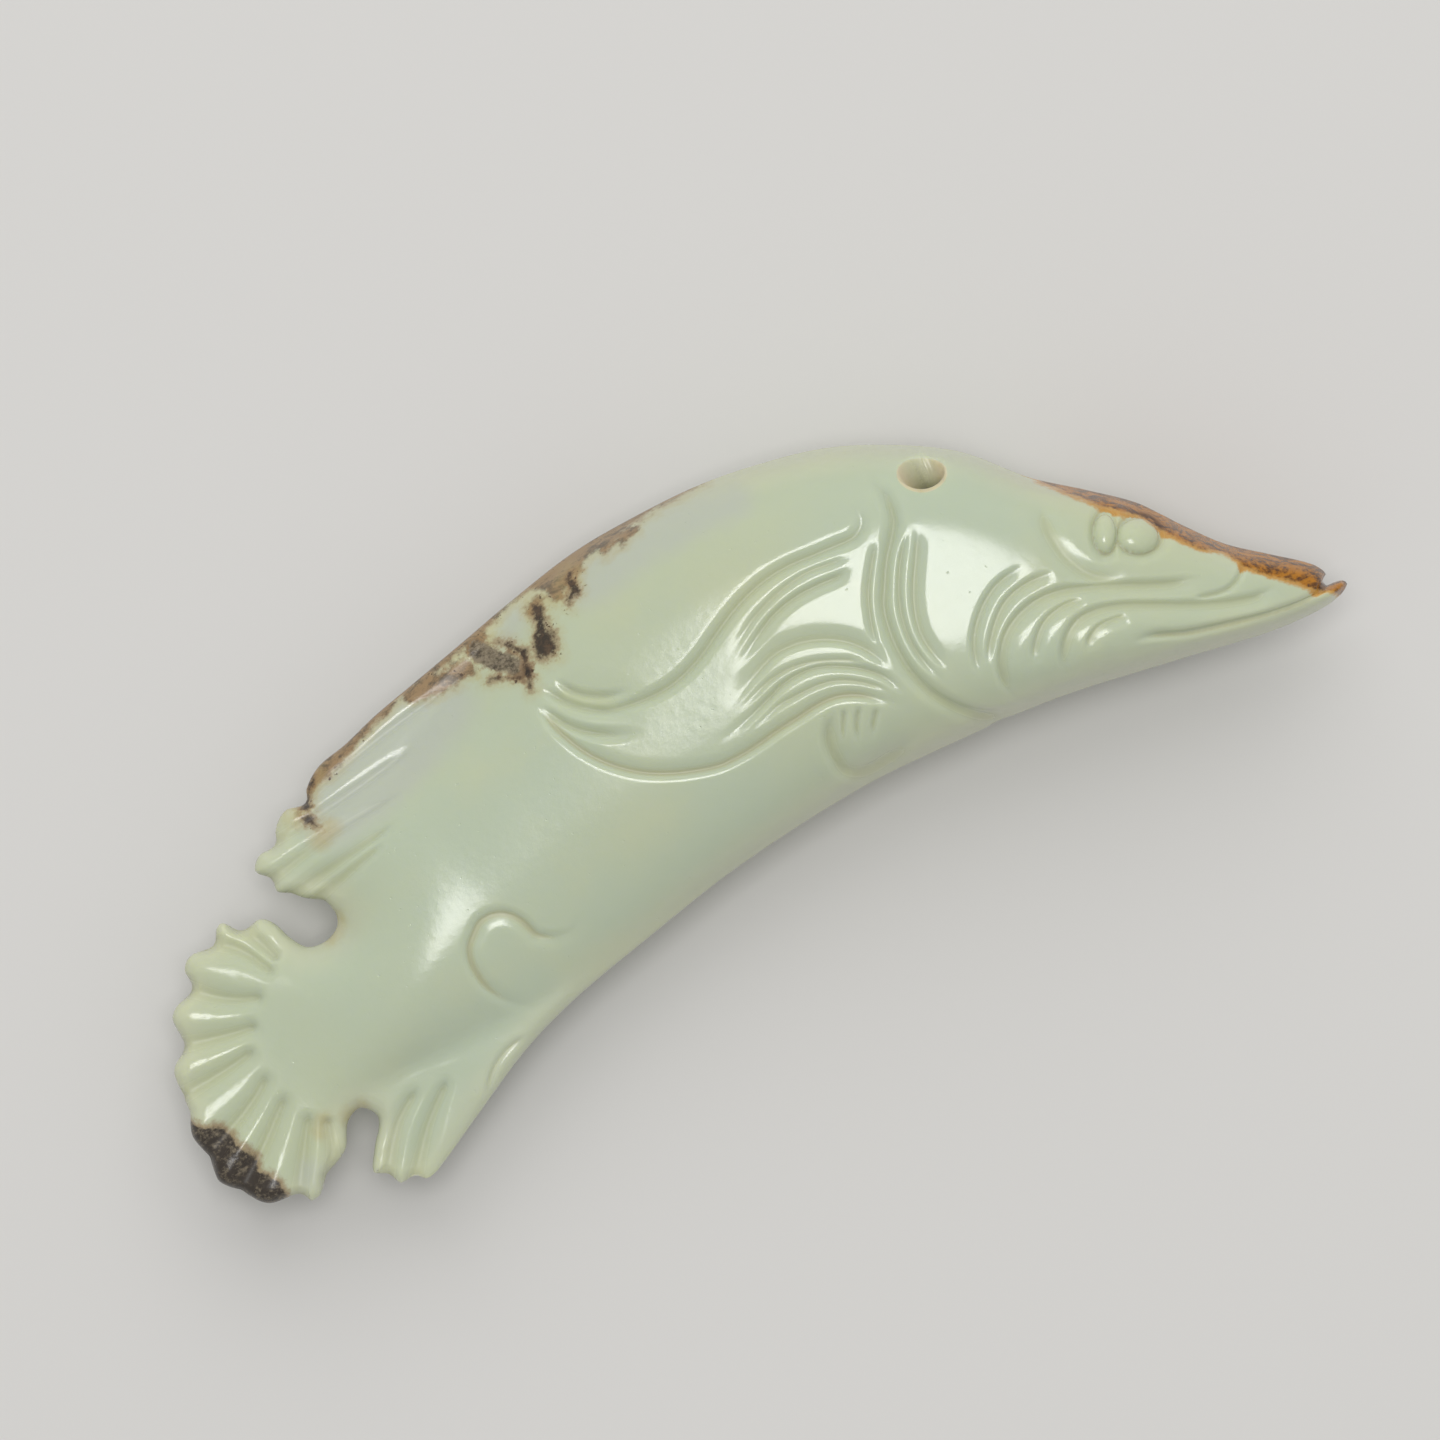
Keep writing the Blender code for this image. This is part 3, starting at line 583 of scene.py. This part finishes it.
def carving_tree():
    """Moves the surface in along its normal by the cut, and lets the hand polish waver a little."""
    tree = bpy.data.node_groups.new("carve and polish", "GeometryNodeTree")
    sockets = tree.interface
    sockets.new_socket("Pebble", in_out="INPUT", socket_type="NodeSocketGeometry")
    sockets.new_socket("Carving", in_out="INPUT", socket_type="NodeSocketFloat")
    sockets.new_socket("Polish Wave", in_out="INPUT", socket_type="NodeSocketFloat")
    sockets.new_socket("Polish Size", in_out="INPUT", socket_type="NodeSocketFloat")
    sockets.new_socket("Stone", in_out="INPUT", socket_type="NodeSocketMaterial")
    sockets.new_socket("Fish", in_out="OUTPUT", socket_type="NodeSocketGeometry")
    nodes, link = tree.nodes, tree.links.new
    given = nodes.new("NodeGroupInput")
    cut = nodes.new("GeometryNodeInputNamedAttribute")
    cut.data_type = "FLOAT"
    cut.inputs["Name"].default_value = "cut"
    deep = nodes.new("ShaderNodeMath")
    deep.operation = "MULTIPLY"
    link(cut.outputs["Attribute"], deep.inputs[0])
    link(given.outputs["Carving"], deep.inputs[1])
    finer = nodes.new("ShaderNodeMath")
    finer.operation = "DIVIDE"
    finer.inputs[0].default_value = 1.0
    link(given.outputs["Polish Size"], finer.inputs[1])
    wave = nodes.new("ShaderNodeTexNoise")
    wave.inputs["Detail"].default_value = 1.0
    link(finer.outputs[0], wave.inputs["Scale"])
    centred = nodes.new("ShaderNodeMath")
    centred.operation = "SUBTRACT"
    link(wave.outputs["Fac"], centred.inputs[0])
    centred.inputs[1].default_value = 0.5
    waver = nodes.new("ShaderNodeMath")
    waver.operation = "MULTIPLY"
    link(centred.outputs[0], waver.inputs[0])
    link(given.outputs["Polish Wave"], waver.inputs[1])
    out = nodes.new("ShaderNodeMath")
    out.operation = "SUBTRACT"
    link(waver.outputs[0], out.inputs[0])
    link(deep.outputs[0], out.inputs[1])
    normal = nodes.new("GeometryNodeInputNormal")
    offset = nodes.new("ShaderNodeVectorMath")
    offset.operation = "SCALE"
    link(normal.outputs["Normal"], offset.inputs[0])
    link(out.outputs[0], offset.inputs["Scale"])
    carve = nodes.new("GeometryNodeSetPosition")
    link(given.outputs["Pebble"], carve.inputs["Geometry"])
    link(offset.outputs["Vector"], carve.inputs["Offset"])
    real = nodes.new("GeometryNodeRealizeInstances")
    link(carve.outputs["Geometry"], real.inputs["Geometry"])
    finish = nodes.new("GeometryNodeSetMaterial")
    link(real.outputs["Geometry"], finish.inputs["Geometry"])
    link(given.outputs["Stone"], finish.inputs["Material"])
    done = nodes.new("NodeGroupOutput")
    link(finish.outputs["Geometry"], done.inputs["Fish"])
    return tree


# The cord hole. A tapered bore from each flank, wide at its mouth and narrow inside, leaning in from
# under the back so that the two meet in the middle of the stone.
CORD_HOLE_PLACE = (739, 130)
CORD_HOLE_LEAN = math.radians(34)
CORD_HOLE_MOUTH = 0.0037
CORD_HOLE_WAIST = 0.0017
BORE_SIDES = 64
BORE_OVERLAP = 0.0006


def cord_bore(name, mouth, flank):
    """The cutter for one flank's bore."""
    inward = Vector((0, -math.sin(CORD_HOLE_LEAN), -flank * math.cos(CORD_HOLE_LEAN)))
    reach = abs(mouth.z / inward.z) + BORE_OVERLAP
    inner_end = mouth + inward * reach
    widening = (CORD_HOLE_MOUTH - CORD_HOLE_WAIST) / 2 / reach
    cone = bmesh.new()
    bmesh.ops.create_cone(cone, cap_ends=True, segments=BORE_SIDES, depth=2 * reach,
                          radius1=CORD_HOLE_WAIST / 2,
                          radius2=CORD_HOLE_WAIST / 2 + widening * 2 * reach)
    turn = (-inward).to_track_quat("Z", "Y").to_matrix().to_4x4()
    turn.translation = inner_end - inward * reach
    bmesh.ops.transform(cone, matrix=turn, verts=cone.verts)
    mesh = bpy.data.meshes.new(name)
    cone.to_mesh(mesh)
    cone.free()
    bore = bpy.data.objects.new(name, mesh)
    bpy.context.scene.collection.objects.link(bore)
    return bore


def plain_mesh(obj):
    """The object's evaluated mesh, as a plain one."""
    bpy.context.view_layer.update()
    return bpy.data.meshes.new_from_object(obj.evaluated_get(bpy.context.evaluated_depsgraph_get()))


# The stone. Pale celadon nephrite, waxy and slightly clear, and olive in the floors of the carved lines,
# which is partly their yellower tone and partly painted shade. The head's top keeps the pebble's russet
# skin, darkened in its cut lines with painted shade, the back a brown one with dark patches, and the tail
# a dark corner.
CELADON = (0.485, 0.530, 0.368, 1.0)
CELADON_COOL = (0.460, 0.525, 0.395, 1.0)
CELADON_WARM = (0.515, 0.545, 0.362, 1.0)
# Olive for the floors of the carved lines and the eye's ring: partly their yellower tone, partly painted
# shade.
LINE_OLIVE_AND_SHADE = (0.42, 0.43, 0.20, 1.0)
STAIN_TAN = (0.36, 0.31, 0.15, 1.0)
FIN_CREAM = (0.60, 0.59, 0.43, 1.0)
MILKY_GREY = (0.465, 0.495, 0.415, 1.0)
SKIN_TAN = (0.27, 0.165, 0.075, 1.0)
SKIN_BROWN = (0.075, 0.042, 0.020, 1.0)
DARK_PATCH = (0.018, 0.011, 0.006, 1.0)
PATCH_HALO = (0.44, 0.35, 0.13, 1.0)
PATCH_DARK = (0.050, 0.036, 0.020, 1.0)
PATCH_PALE = (0.25, 0.205, 0.135, 1.0)
RUSSET = (0.40, 0.155, 0.004, 1.0)
# Dark russet of the skin's veins, also laid in its cut lines as painted shade.
RUSSET_DARK_AND_SHADE = (0.060, 0.018, 0.002, 1.0)
RUSSET_FRINGE = (0.50, 0.235, 0.015, 1.0)
BORE_TAN = (0.55, 0.48, 0.32, 1.0)

# The widths of the stone's natural patterns and of its wear, in metres
CLOUD_SIZE = 0.022
DRIFT_SIZE = 0.009
RAGGED_SIZE = 0.0017
FINE_SIZE = 0.0005
VEIN_SIZE = 0.0020
SPECK_SIZE = 0.00045
MOTTLE_SIZE = 0.0009
SCRATCH_SIZE = 0.0003
PIT_SIZE = 0.0005

# The polish, and how deep the light goes into the stone
NEPHRITE_IOR = 1.61
POLISH_ROUGHNESS = 0.17
UNEVEN_ROUGHNESS = 0.06
LINE_ROUGHER = 0.22
SKIN_ROUGHER = 0.08
BORE_ROUGHER = 0.3
CLEARNESS = 0.55
SKIN_LESS_CLEAR = 0.45
CLEAR_RADIUS = (1.0, 1.0, 0.55)
CLEAR_DEPTH = 0.0016
BUMP_STRENGTH = 0.5
BUMP_HEIGHT = 0.00003


def spots(plan, shapes):
    """How far inside the nearest of some rounded spots each place is, in millimetres."""
    inside = np.full(len(plan), FAR_OUTSIDE)
    for radius, guides in shapes:
        distance, _, _ = measure(plan, flowing_line(guides, LINE_STEP))
        inside = np.maximum(inside, (radius - distance) / MM)
    return inside


def paint_places(mesh, outline, hole_heights):
    """Attributes that the stone's material reads: where the lines, the skins and the patches are."""
    place = np.empty(len(mesh.vertices) * 3, dtype=np.float32)
    mesh.vertices.foreach_get("co", place)
    place = place.reshape(-1, 3).astype(float)
    plan = place[:, :2] / SHARE
    right = place[:, 2] > 0
    floor = np.where(right, carved_depth(plan, RIGHT_CUTS)[1], carved_depth(plan, LEFT_CUTS)[1])
    from_russet, russet_side, _ = measure(plan, flowing_line(RUSSET_BORDER, LINE_STEP))
    from_skin, skin_side, _ = measure(plan, flowing_line(BACK_SKIN_FROM, LINE_STEP))
    from_tail, tail_side, _ = measure(plan, flowing_line(TAIL_DARK_BORDER, LINE_STEP))
    from_edge, _, _ = measure(plan, outline, closed=True, reach=EDGE_REACH)
    from_end = np.minimum(plan[:, 0] - BACK_SKIN_SPAN[0], BACK_SKIN_SPAN[1] - plan[:, 0])
    in_skin = np.minimum(skin_side * from_skin, from_end / BACK_SKIN_END_SLOPE)
    mouth_height = np.where(right, *hole_heights)
    down = mouth_height - np.abs(place[:, 2])
    axis_y = CORD_HOLE_PLACE[1] * SHARE - down * math.tan(CORD_HOLE_LEAN)
    from_axis = np.hypot(place[:, 0] - CORD_HOLE_PLACE[0] * SHARE,
                         (place[:, 1] - axis_y) * math.cos(CORD_HOLE_LEAN))
    bore_radius = CORD_HOLE_MOUTH / 2 - (CORD_HOLE_MOUTH - CORD_HOLE_WAIST) / 2 * down / mouth_height
    painted = {
        "floor": floor,
        "stain": carved_depth(plan, STAINED_CUTS, ())[1],
        "russet": russet_side * from_russet / MM,
        "skin": in_skin / MM,
        "dark": spots(plan, DARK_SPOTS),
        "grey": spots(plan, GREY_SPOTS),
        "brown": spots(plan, BROWN_SPOTS),
        "milky": spots(plan, MILKY_PATCHES),
        "tint": spots(plan, WARM_TINTS),
        "tail dark": -tail_side * from_tail / MM,
        "edge": from_edge / MM,
        "bore": (bore_radius - from_axis) / MILLIMETRE,
    }
    for name, values in painted.items():
        mesh.attributes.new(name, "FLOAT", "POINT").data.foreach_set("value", values.astype(np.float32))


class StoneNodes:
    """Short ways to add and link the stone's shader nodes, and the patterns that its layers share."""

    def __init__(self, tree):
        self.tree = tree
        self.object_place = tree.nodes.new("ShaderNodeTexCoord").outputs["Object"]
        self.floor = self.attribute("floor")
        self.ragged = self.noise(RAGGED_SIZE, detail=6, roughness=0.68)
        self.fine = self.noise(FINE_SIZE, detail=4, roughness=0.75)
        self.veins = self.noise(VEIN_SIZE, detail=6, roughness=0.72, stretch=(0.5, 1.4, 1.0),
                                distortion=1.4)
        self.specks = self.step(self.noise(SPECK_SIZE, detail=2), 0.17, 0.23)
        self.mottled = self.add(self.times(self.veins, 0.7), self.fine)

    def set(self, socket, value):
        if isinstance(value, bpy.types.NodeSocket):
            self.tree.links.new(value, socket)
        else:
            socket.default_value = value

    def attribute(self, name):
        node = self.tree.nodes.new("ShaderNodeAttribute")
        node.attribute_name = name
        return node.outputs["Fac"]

    def noise(self, size, detail=2.0, roughness=0.5, stretch=(1, 1, 1), distortion=0.0):
        """Noise with features about a size wide, in metres, around 0."""
        mapping = self.tree.nodes.new("ShaderNodeMapping")
        self.set(mapping.inputs["Vector"], self.object_place)
        mapping.inputs["Scale"].default_value = stretch
        node = self.tree.nodes.new("ShaderNodeTexNoise")
        self.set(node.inputs["Vector"], mapping.outputs["Vector"])
        node.inputs["Scale"].default_value = 1 / size
        node.inputs["Detail"].default_value = detail
        node.inputs["Roughness"].default_value = roughness
        node.inputs["Distortion"].default_value = distortion
        return self.math("SUBTRACT", node.outputs["Fac"], 0.5)

    def math(self, operation, a, b=0.0, clamp=False):
        node = self.tree.nodes.new("ShaderNodeMath")
        node.operation = operation
        node.use_clamp = clamp
        self.set(node.inputs[0], a)
        self.set(node.inputs[1], b)
        return node.outputs[0]

    def step(self, value, low, high):
        """A smooth step from 0 at low to 1 at high."""
        node = self.tree.nodes.new("ShaderNodeMapRange")
        node.interpolation_type = "SMOOTHSTEP"
        self.set(node.inputs["Value"], value)
        node.inputs["From Min"].default_value = low
        node.inputs["From Max"].default_value = high
        return node.outputs["Result"]

    def mix(self, factor, below, above):
        """A mix of two colours, which are sockets 6 and 7 and output 2 of the node."""
        node = self.tree.nodes.new("ShaderNodeMix")
        node.data_type = "RGBA"
        self.set(node.inputs["Factor"], factor)
        self.set(node.inputs[6], below)
        self.set(node.inputs[7], above)
        return node.outputs[2]

    def add(self, a, b):
        return self.math("ADD", a, b)

    def times(self, a, b):
        return self.math("MULTIPLY", a, b)

    def lay(self, below, above, cover, strength):
        """One colour laid over another as far as its cover and strength go."""
        return self.mix(self.times(cover, strength), below, above)

    def uneven(self, name, coarse, finer=0.0):
        """An attribute's distance inside a patch, in millimetres, made uneven as a natural border is."""
        wobble = self.times(self.ragged, coarse)
        if finer:
            wobble = self.add(wobble, self.times(self.fine, finer))
        return self.add(self.attribute(name), wobble)


def bare_jade(n):
    """Clouds of cooler and warmer celadon, olive in the cut lines' floors as their yellower tone and as
    painted shade, tan along some lines, and paler thin fins.
    """
    drift = n.noise(DRIFT_SIZE, detail=3)
    colour = n.mix(n.step(n.noise(CLOUD_SIZE, detail=2), -0.2, 0.2), CELADON_COOL, CELADON)
    colour = n.lay(colour, CELADON_WARM, n.step(drift, -0.05, 0.25), 0.5)
    # Painted shade: the floors of the cut lines and of the eye's ring are laid towards olive, besides
    # their yellower tone.
    colour = n.lay(colour, LINE_OLIVE_AND_SHADE, n.step(n.floor, 0.35, 1.0), 0.34)
    colour = n.lay(colour, STAIN_TAN, n.step(n.attribute("stain"), 0.5, 1.0), 0.3)
    colour = n.lay(colour, FIN_CREAM, n.step(n.uneven("edge", 1.2), 3.2, 0.0), 0.38)
    milky = n.step(n.add(n.attribute("milky"), n.times(drift, 3.0)), -1.0, 1.4)
    colour = n.lay(colour, MILKY_GREY, milky, 0.85)
    return n.lay(colour, PATCH_HALO, n.step(n.uneven("tint", 1.5), -0.7, 0.6), 0.45)


def brown_skin(n, colour):
    """The skin along the back, veined tan and brown, with a yellow border and stray specks."""
    place = n.math("MAXIMUM", n.uneven("skin", 1.5, 0.6), n.uneven("brown", 2.6))
    colour = n.lay(colour, PATCH_HALO, n.step(place, -0.9, 0.1), 0.35)
    veined = n.step(n.add(n.veins, n.times(n.fine, 0.5)), -0.06, 0.18)
    skin = n.step(place, -0.15, 0.45)
    colour = n.lay(colour, n.mix(veined, SKIN_TAN, SKIN_BROWN), skin, 0.9)
    return n.lay(colour, SKIN_BROWN, n.specks, n.step(place, -0.5, 0.0)), skin


def dark_patches(n, colour):
    """Grey and nearly black patches beside that skin, with tan borders and stray specks."""
    dark_place = n.uneven("dark", 2.2, 0.9)
    grey_place = n.uneven("grey", 3.0, 1.2)
    grey_colour = n.mix(n.step(n.mottled, -0.16, 0.16), PATCH_DARK, PATCH_PALE)
    dark_colour = n.mix(n.step(n.mottled, -0.08, 0.18), DARK_PATCH, SKIN_BROWN)
    colour = n.lay(colour, PATCH_HALO, n.step(dark_place, -1.2, 0.0), 0.3)
    colour = n.lay(colour, SKIN_TAN, n.step(grey_place, -0.35, 0.0), 0.5)
    colour = n.lay(colour, grey_colour, n.step(grey_place, -0.10, 0.30), 0.95)
    colour = n.lay(colour, SKIN_TAN, n.step(dark_place, -0.40, 0.05), 0.6)
    dark = n.step(dark_place, -0.05, 0.40)
    colour = n.lay(colour, dark_colour, dark, 0.95)
    return n.lay(colour, SKIN_BROWN, n.specks, n.step(dark_place, -0.8, -0.2)), dark


def dark_tail(n, colour):
    """The tail's lower corner, nearly black with paler grains and a tan border."""
    place = n.uneven("tail dark", 1.8, 0.7)
    colour = n.lay(colour, SKIN_TAN, n.step(place, -0.75, -0.05), 0.75)
    grained = n.lay(DARK_PATCH, PATCH_PALE, n.step(n.mottled, -0.04, 0.24), 0.7)
    tail = n.step(place, -0.10, 0.22)
    return n.lay(colour, grained, tail, 0.97), tail


def russet_head(n, colour):
    """The russet skin of the head's top, darker in its veins, darkened with painted shade in its cut
    lines, and with a bright border.
    """
    place = n.uneven("russet", 0.9, 0.4)
    fringe = n.step(n.add(place, n.times(n.floor, 0.4)), -0.30, 0.0)
    colour = n.lay(colour, RUSSET_FRINGE, fringe, 0.85)
    veined = n.step(n.add(n.veins, n.times(n.fine, 0.5)), -0.12, 0.14)
    russet_colour = n.mix(veined, RUSSET, RUSSET_DARK_AND_SHADE)
    # Painted shade: the russet is darkened in the floors of the cut lines.
    russet_colour = n.lay(russet_colour, RUSSET_DARK_AND_SHADE, n.step(n.floor, 0.3, 0.9), 0.8)
    russet = n.step(place, -0.02, 0.28)
    return n.mix(russet, colour, russet_colour), russet


def polish(n, shader, skins, bore):
    """A waxy polish, duller in the lines, on the skins and in the cord hole, and light let in a little."""
    rough = n.add(POLISH_ROUGHNESS, n.times(n.fine, UNEVEN_ROUGHNESS))
    rough = n.add(n.times(n.step(n.floor, 0.35, 0.95), LINE_ROUGHER), rough)
    rough = n.add(rough, n.times(skins, SKIN_ROUGHER))
    n.set(shader.inputs["Roughness"], n.add(rough, n.times(bore, BORE_ROUGHER)))
    shader.inputs["IOR"].default_value = NEPHRITE_IOR
    soft = n.math("SUBTRACT", CLEARNESS, n.times(skins, SKIN_LESS_CLEAR), clamp=True)
    n.set(shader.inputs["Subsurface Weight"], soft)
    shader.inputs["Subsurface Radius"].default_value = CLEAR_RADIUS
    shader.inputs["Subsurface Scale"].default_value = CLEAR_DEPTH


def fine_wear(n, shader, skins):
    """Small relief: soft mottling, hand scratches, pits, and veins that stand up in the skins."""
    mottle = n.noise(MOTTLE_SIZE, detail=4, roughness=0.6)
    scratches = n.noise(SCRATCH_SIZE, detail=3, roughness=0.6, stretch=(0.25, 1.6, 1.0))
    pits = n.times(n.step(n.noise(PIT_SIZE, detail=2), 0.22, 0.29), -1.2)
    skin_veins = n.times(n.times(n.veins, skins), 3.0)
    relief = n.add(n.add(mottle, n.times(scratches, 0.25)), n.add(pits, skin_veins))
    bump = n.tree.nodes.new("ShaderNodeBump")
    bump.inputs["Strength"].default_value = BUMP_STRENGTH
    bump.inputs["Distance"].default_value = BUMP_HEIGHT
    n.set(bump.inputs["Height"], relief)
    n.set(shader.inputs["Normal"], bump.outputs["Normal"])


def stone_material():
    """Celadon nephrite with its skins and patches."""
    material = bpy.data.materials.new("celadon nephrite")
    material.use_nodes = True
    shader = material.node_tree.nodes["Principled BSDF"]
    n = StoneNodes(material.node_tree)
    colour, skin = brown_skin(n, bare_jade(n))
    colour, dark = dark_patches(n, colour)
    colour, tail = dark_tail(n, colour)
    colour, russet = russet_head(n, colour)
    bore = n.step(n.attribute("bore"), -0.22, -0.06)
    n.set(shader.inputs["Base Color"], n.lay(colour, BORE_TAN, bore, 0.9))
    skins = n.math("MAXIMUM", n.math("MAXIMUM", skin, dark), n.math("MAXIMUM", russet, tail))
    polish(n, shader, skins, bore)
    fine_wear(n, shader, skins)
    return material


# The finished fish: pebble, carving, cord hole and resting flat in one piece of stone. It is made about
# its own middle plane, then set on the floor, and what would be lower than the flat is pressed level.
stone = stone_material()
pebble_mesh, outline = smooth_pebble()
fish = bpy.data.objects.new("carved_fish", pebble_mesh)
bpy.context.scene.collection.objects.link(fish)
carver = fish.modifiers.new("carve and polish", "NODES")
carver.node_group = carving_tree()
settings = {"Carving": 1.0, "Polish Wave": POLISH_WAVE, "Polish Size": POLISH_SIZE, "Stone": stone}
for item in carver.node_group.interface.items_tree:
    if item.in_out == "INPUT" and item.name in settings:
        carver[item.identifier] = settings[item.name]
carved = plain_mesh(fish)
fish.modifiers.remove(carver)
fish.data = carved

hole_plan = np.array([CORD_HOLE_PLACE], dtype=float)
hole_heights = [height[0] * SHARE for height in flank_heights(hole_plan, outline)]
bores = []
for side_name, flank, height in (("right", 1, hole_heights[0]), ("left", -1, hole_heights[1])):
    mouth = Vector((CORD_HOLE_PLACE[0] * SHARE, CORD_HOLE_PLACE[1] * SHARE, flank * height))
    bores.append(cord_bore("cord bore " + side_name, mouth, flank))
    cutting = fish.modifiers.new("cord bore " + side_name, "BOOLEAN")
    cutting.operation = "DIFFERENCE"
    cutting.solver = "MANIFOLD"
    cutting.object = bores[-1]
bored = plain_mesh(fish)
fish.modifiers.clear()
fish.data = bored
for bore in bores:
    bpy.data.objects.remove(bore, do_unlink=True)

floor_height = -THICKNESS / 2 + REST_FLAT_DEPTH
outline_middle = (outline.min(axis=0) + outline.max(axis=0)) / 2 * SHARE
cad_middle = (cad_low + cad_high) / 2
shift = np.array((outline_middle[0] - cad_middle.x, outline_middle[1] - cad_middle.y, floor_height))
paint_places(bored, outline, hole_heights)
place = np.empty(len(bored.vertices) * 3, dtype=np.float32)
bored.vertices.foreach_get("co", place)
place = place.reshape(-1, 3) - shift
place[:, 2] = np.maximum(place[:, 2], 0)
bored.vertices.foreach_set("co", place.astype(np.float32).ravel())
bored.shade_smooth()
bored.update()
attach(fish, "root")
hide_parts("fish")

# The floor: a wide pale sheet with a matt surface, which the fish lies on. It is a hair below the
# fish's flat, so that the two faces don't share one plane.
FLOOR_SIZE = 3.0
FLOOR_DROP = 0.0001
FLOOR_PALE = (0.62, 0.61, 0.59, 1.0)
FLOOR_ROUGHNESS = 0.9
floor_mesh = bpy.data.meshes.new("pale floor")
half_floor = FLOOR_SIZE / 2
floor_mesh.from_pydata([(x * half_floor, y * half_floor, -FLOOR_DROP) for x, y in
                        ((-1, -1), (1, -1), (1, 1), (-1, 1))], [], [(0, 1, 2, 3)])
pale_floor = bpy.data.objects.new("pale_floor", floor_mesh)
bpy.context.scene.collection.objects.link(pale_floor)
floor_material = bpy.data.materials.new("matt pale sheet")
floor_material.use_nodes = True
floor_shader = floor_material.node_tree.nodes["Principled BSDF"]
floor_shader.inputs["Base Color"].default_value = FLOOR_PALE
floor_shader.inputs["Roughness"].default_value = FLOOR_ROUGHNESS
floor_mesh.materials.append(floor_material)

# The camera looks straight down on the fish, turned so that the fish slants as it does in the photo.
IMAGE_PIXELS = 1440
FISH_PIXELS = 1281.6
PHOTO_CENTRE = (513.65, 25.0)
PHOTO_TURN = math.radians(-26)
LENS = 300.0
SENSOR = 36.0
NEAREST_SEEN = 0.01
view_width = LENGTH * IMAGE_PIXELS / FISH_PIXELS
camera_data = bpy.data.cameras.new("camera")
camera_data.lens = LENS
camera_data.sensor_width = SENSOR
camera_data.clip_start = NEAREST_SEEN
camera = bpy.data.objects.new("camera", camera_data)
bpy.context.scene.collection.objects.link(camera)
aim = Vector((PHOTO_CENTRE[0] * SHARE - shift[0], PHOTO_CENTRE[1] * SHARE - shift[1], -floor_height))
camera.location = aim + Vector((0, 0, view_width * LENS / SENSOR))
camera.rotation_euler = (0, 0, PHOTO_TURN)
bpy.context.scene.camera = camera

# The light: a square softbox behind the camera gives the polish its clear highlights, a very wide panel
# on the back's side lights that side a little more, and a plain grey sky fills the rest.
SKY_STRENGTH = 0.48


def softbox(name, toward, distance, size, power):
    """A square area light aimed at the fish, from a direction given as a vector."""
    light = bpy.data.lights.new(name, "AREA")
    light.shape = "SQUARE"
    light.size = size
    light.energy = power
    holder = bpy.data.objects.new(name, light)
    direction = Vector(toward).normalized()
    holder.location = aim + direction * distance
    holder.rotation_euler = direction.to_track_quat("Z", "Y").to_euler()
    bpy.context.scene.collection.objects.link(holder)
    return holder


softbox("softbox behind the camera", toward=(0.0, 0.06, 1.0), distance=1.15, size=0.46, power=4.8)
wide_panel = softbox("wide panel", toward=(0.35, 0.8, 0.8), distance=1.2, size=1.2, power=6.5)
wide_panel.visible_glossy = False
sky = bpy.data.worlds.new("plain grey sky")
sky.use_nodes = True
sky.node_tree.nodes["Background"].inputs["Color"].default_value = (1.0, 1.0, 1.0, 1.0)
sky.node_tree.nodes["Background"].inputs["Strength"].default_value = SKY_STRENGTH
bpy.context.scene.world = sky
bpy.context.scene.view_settings.view_transform = "Standard"
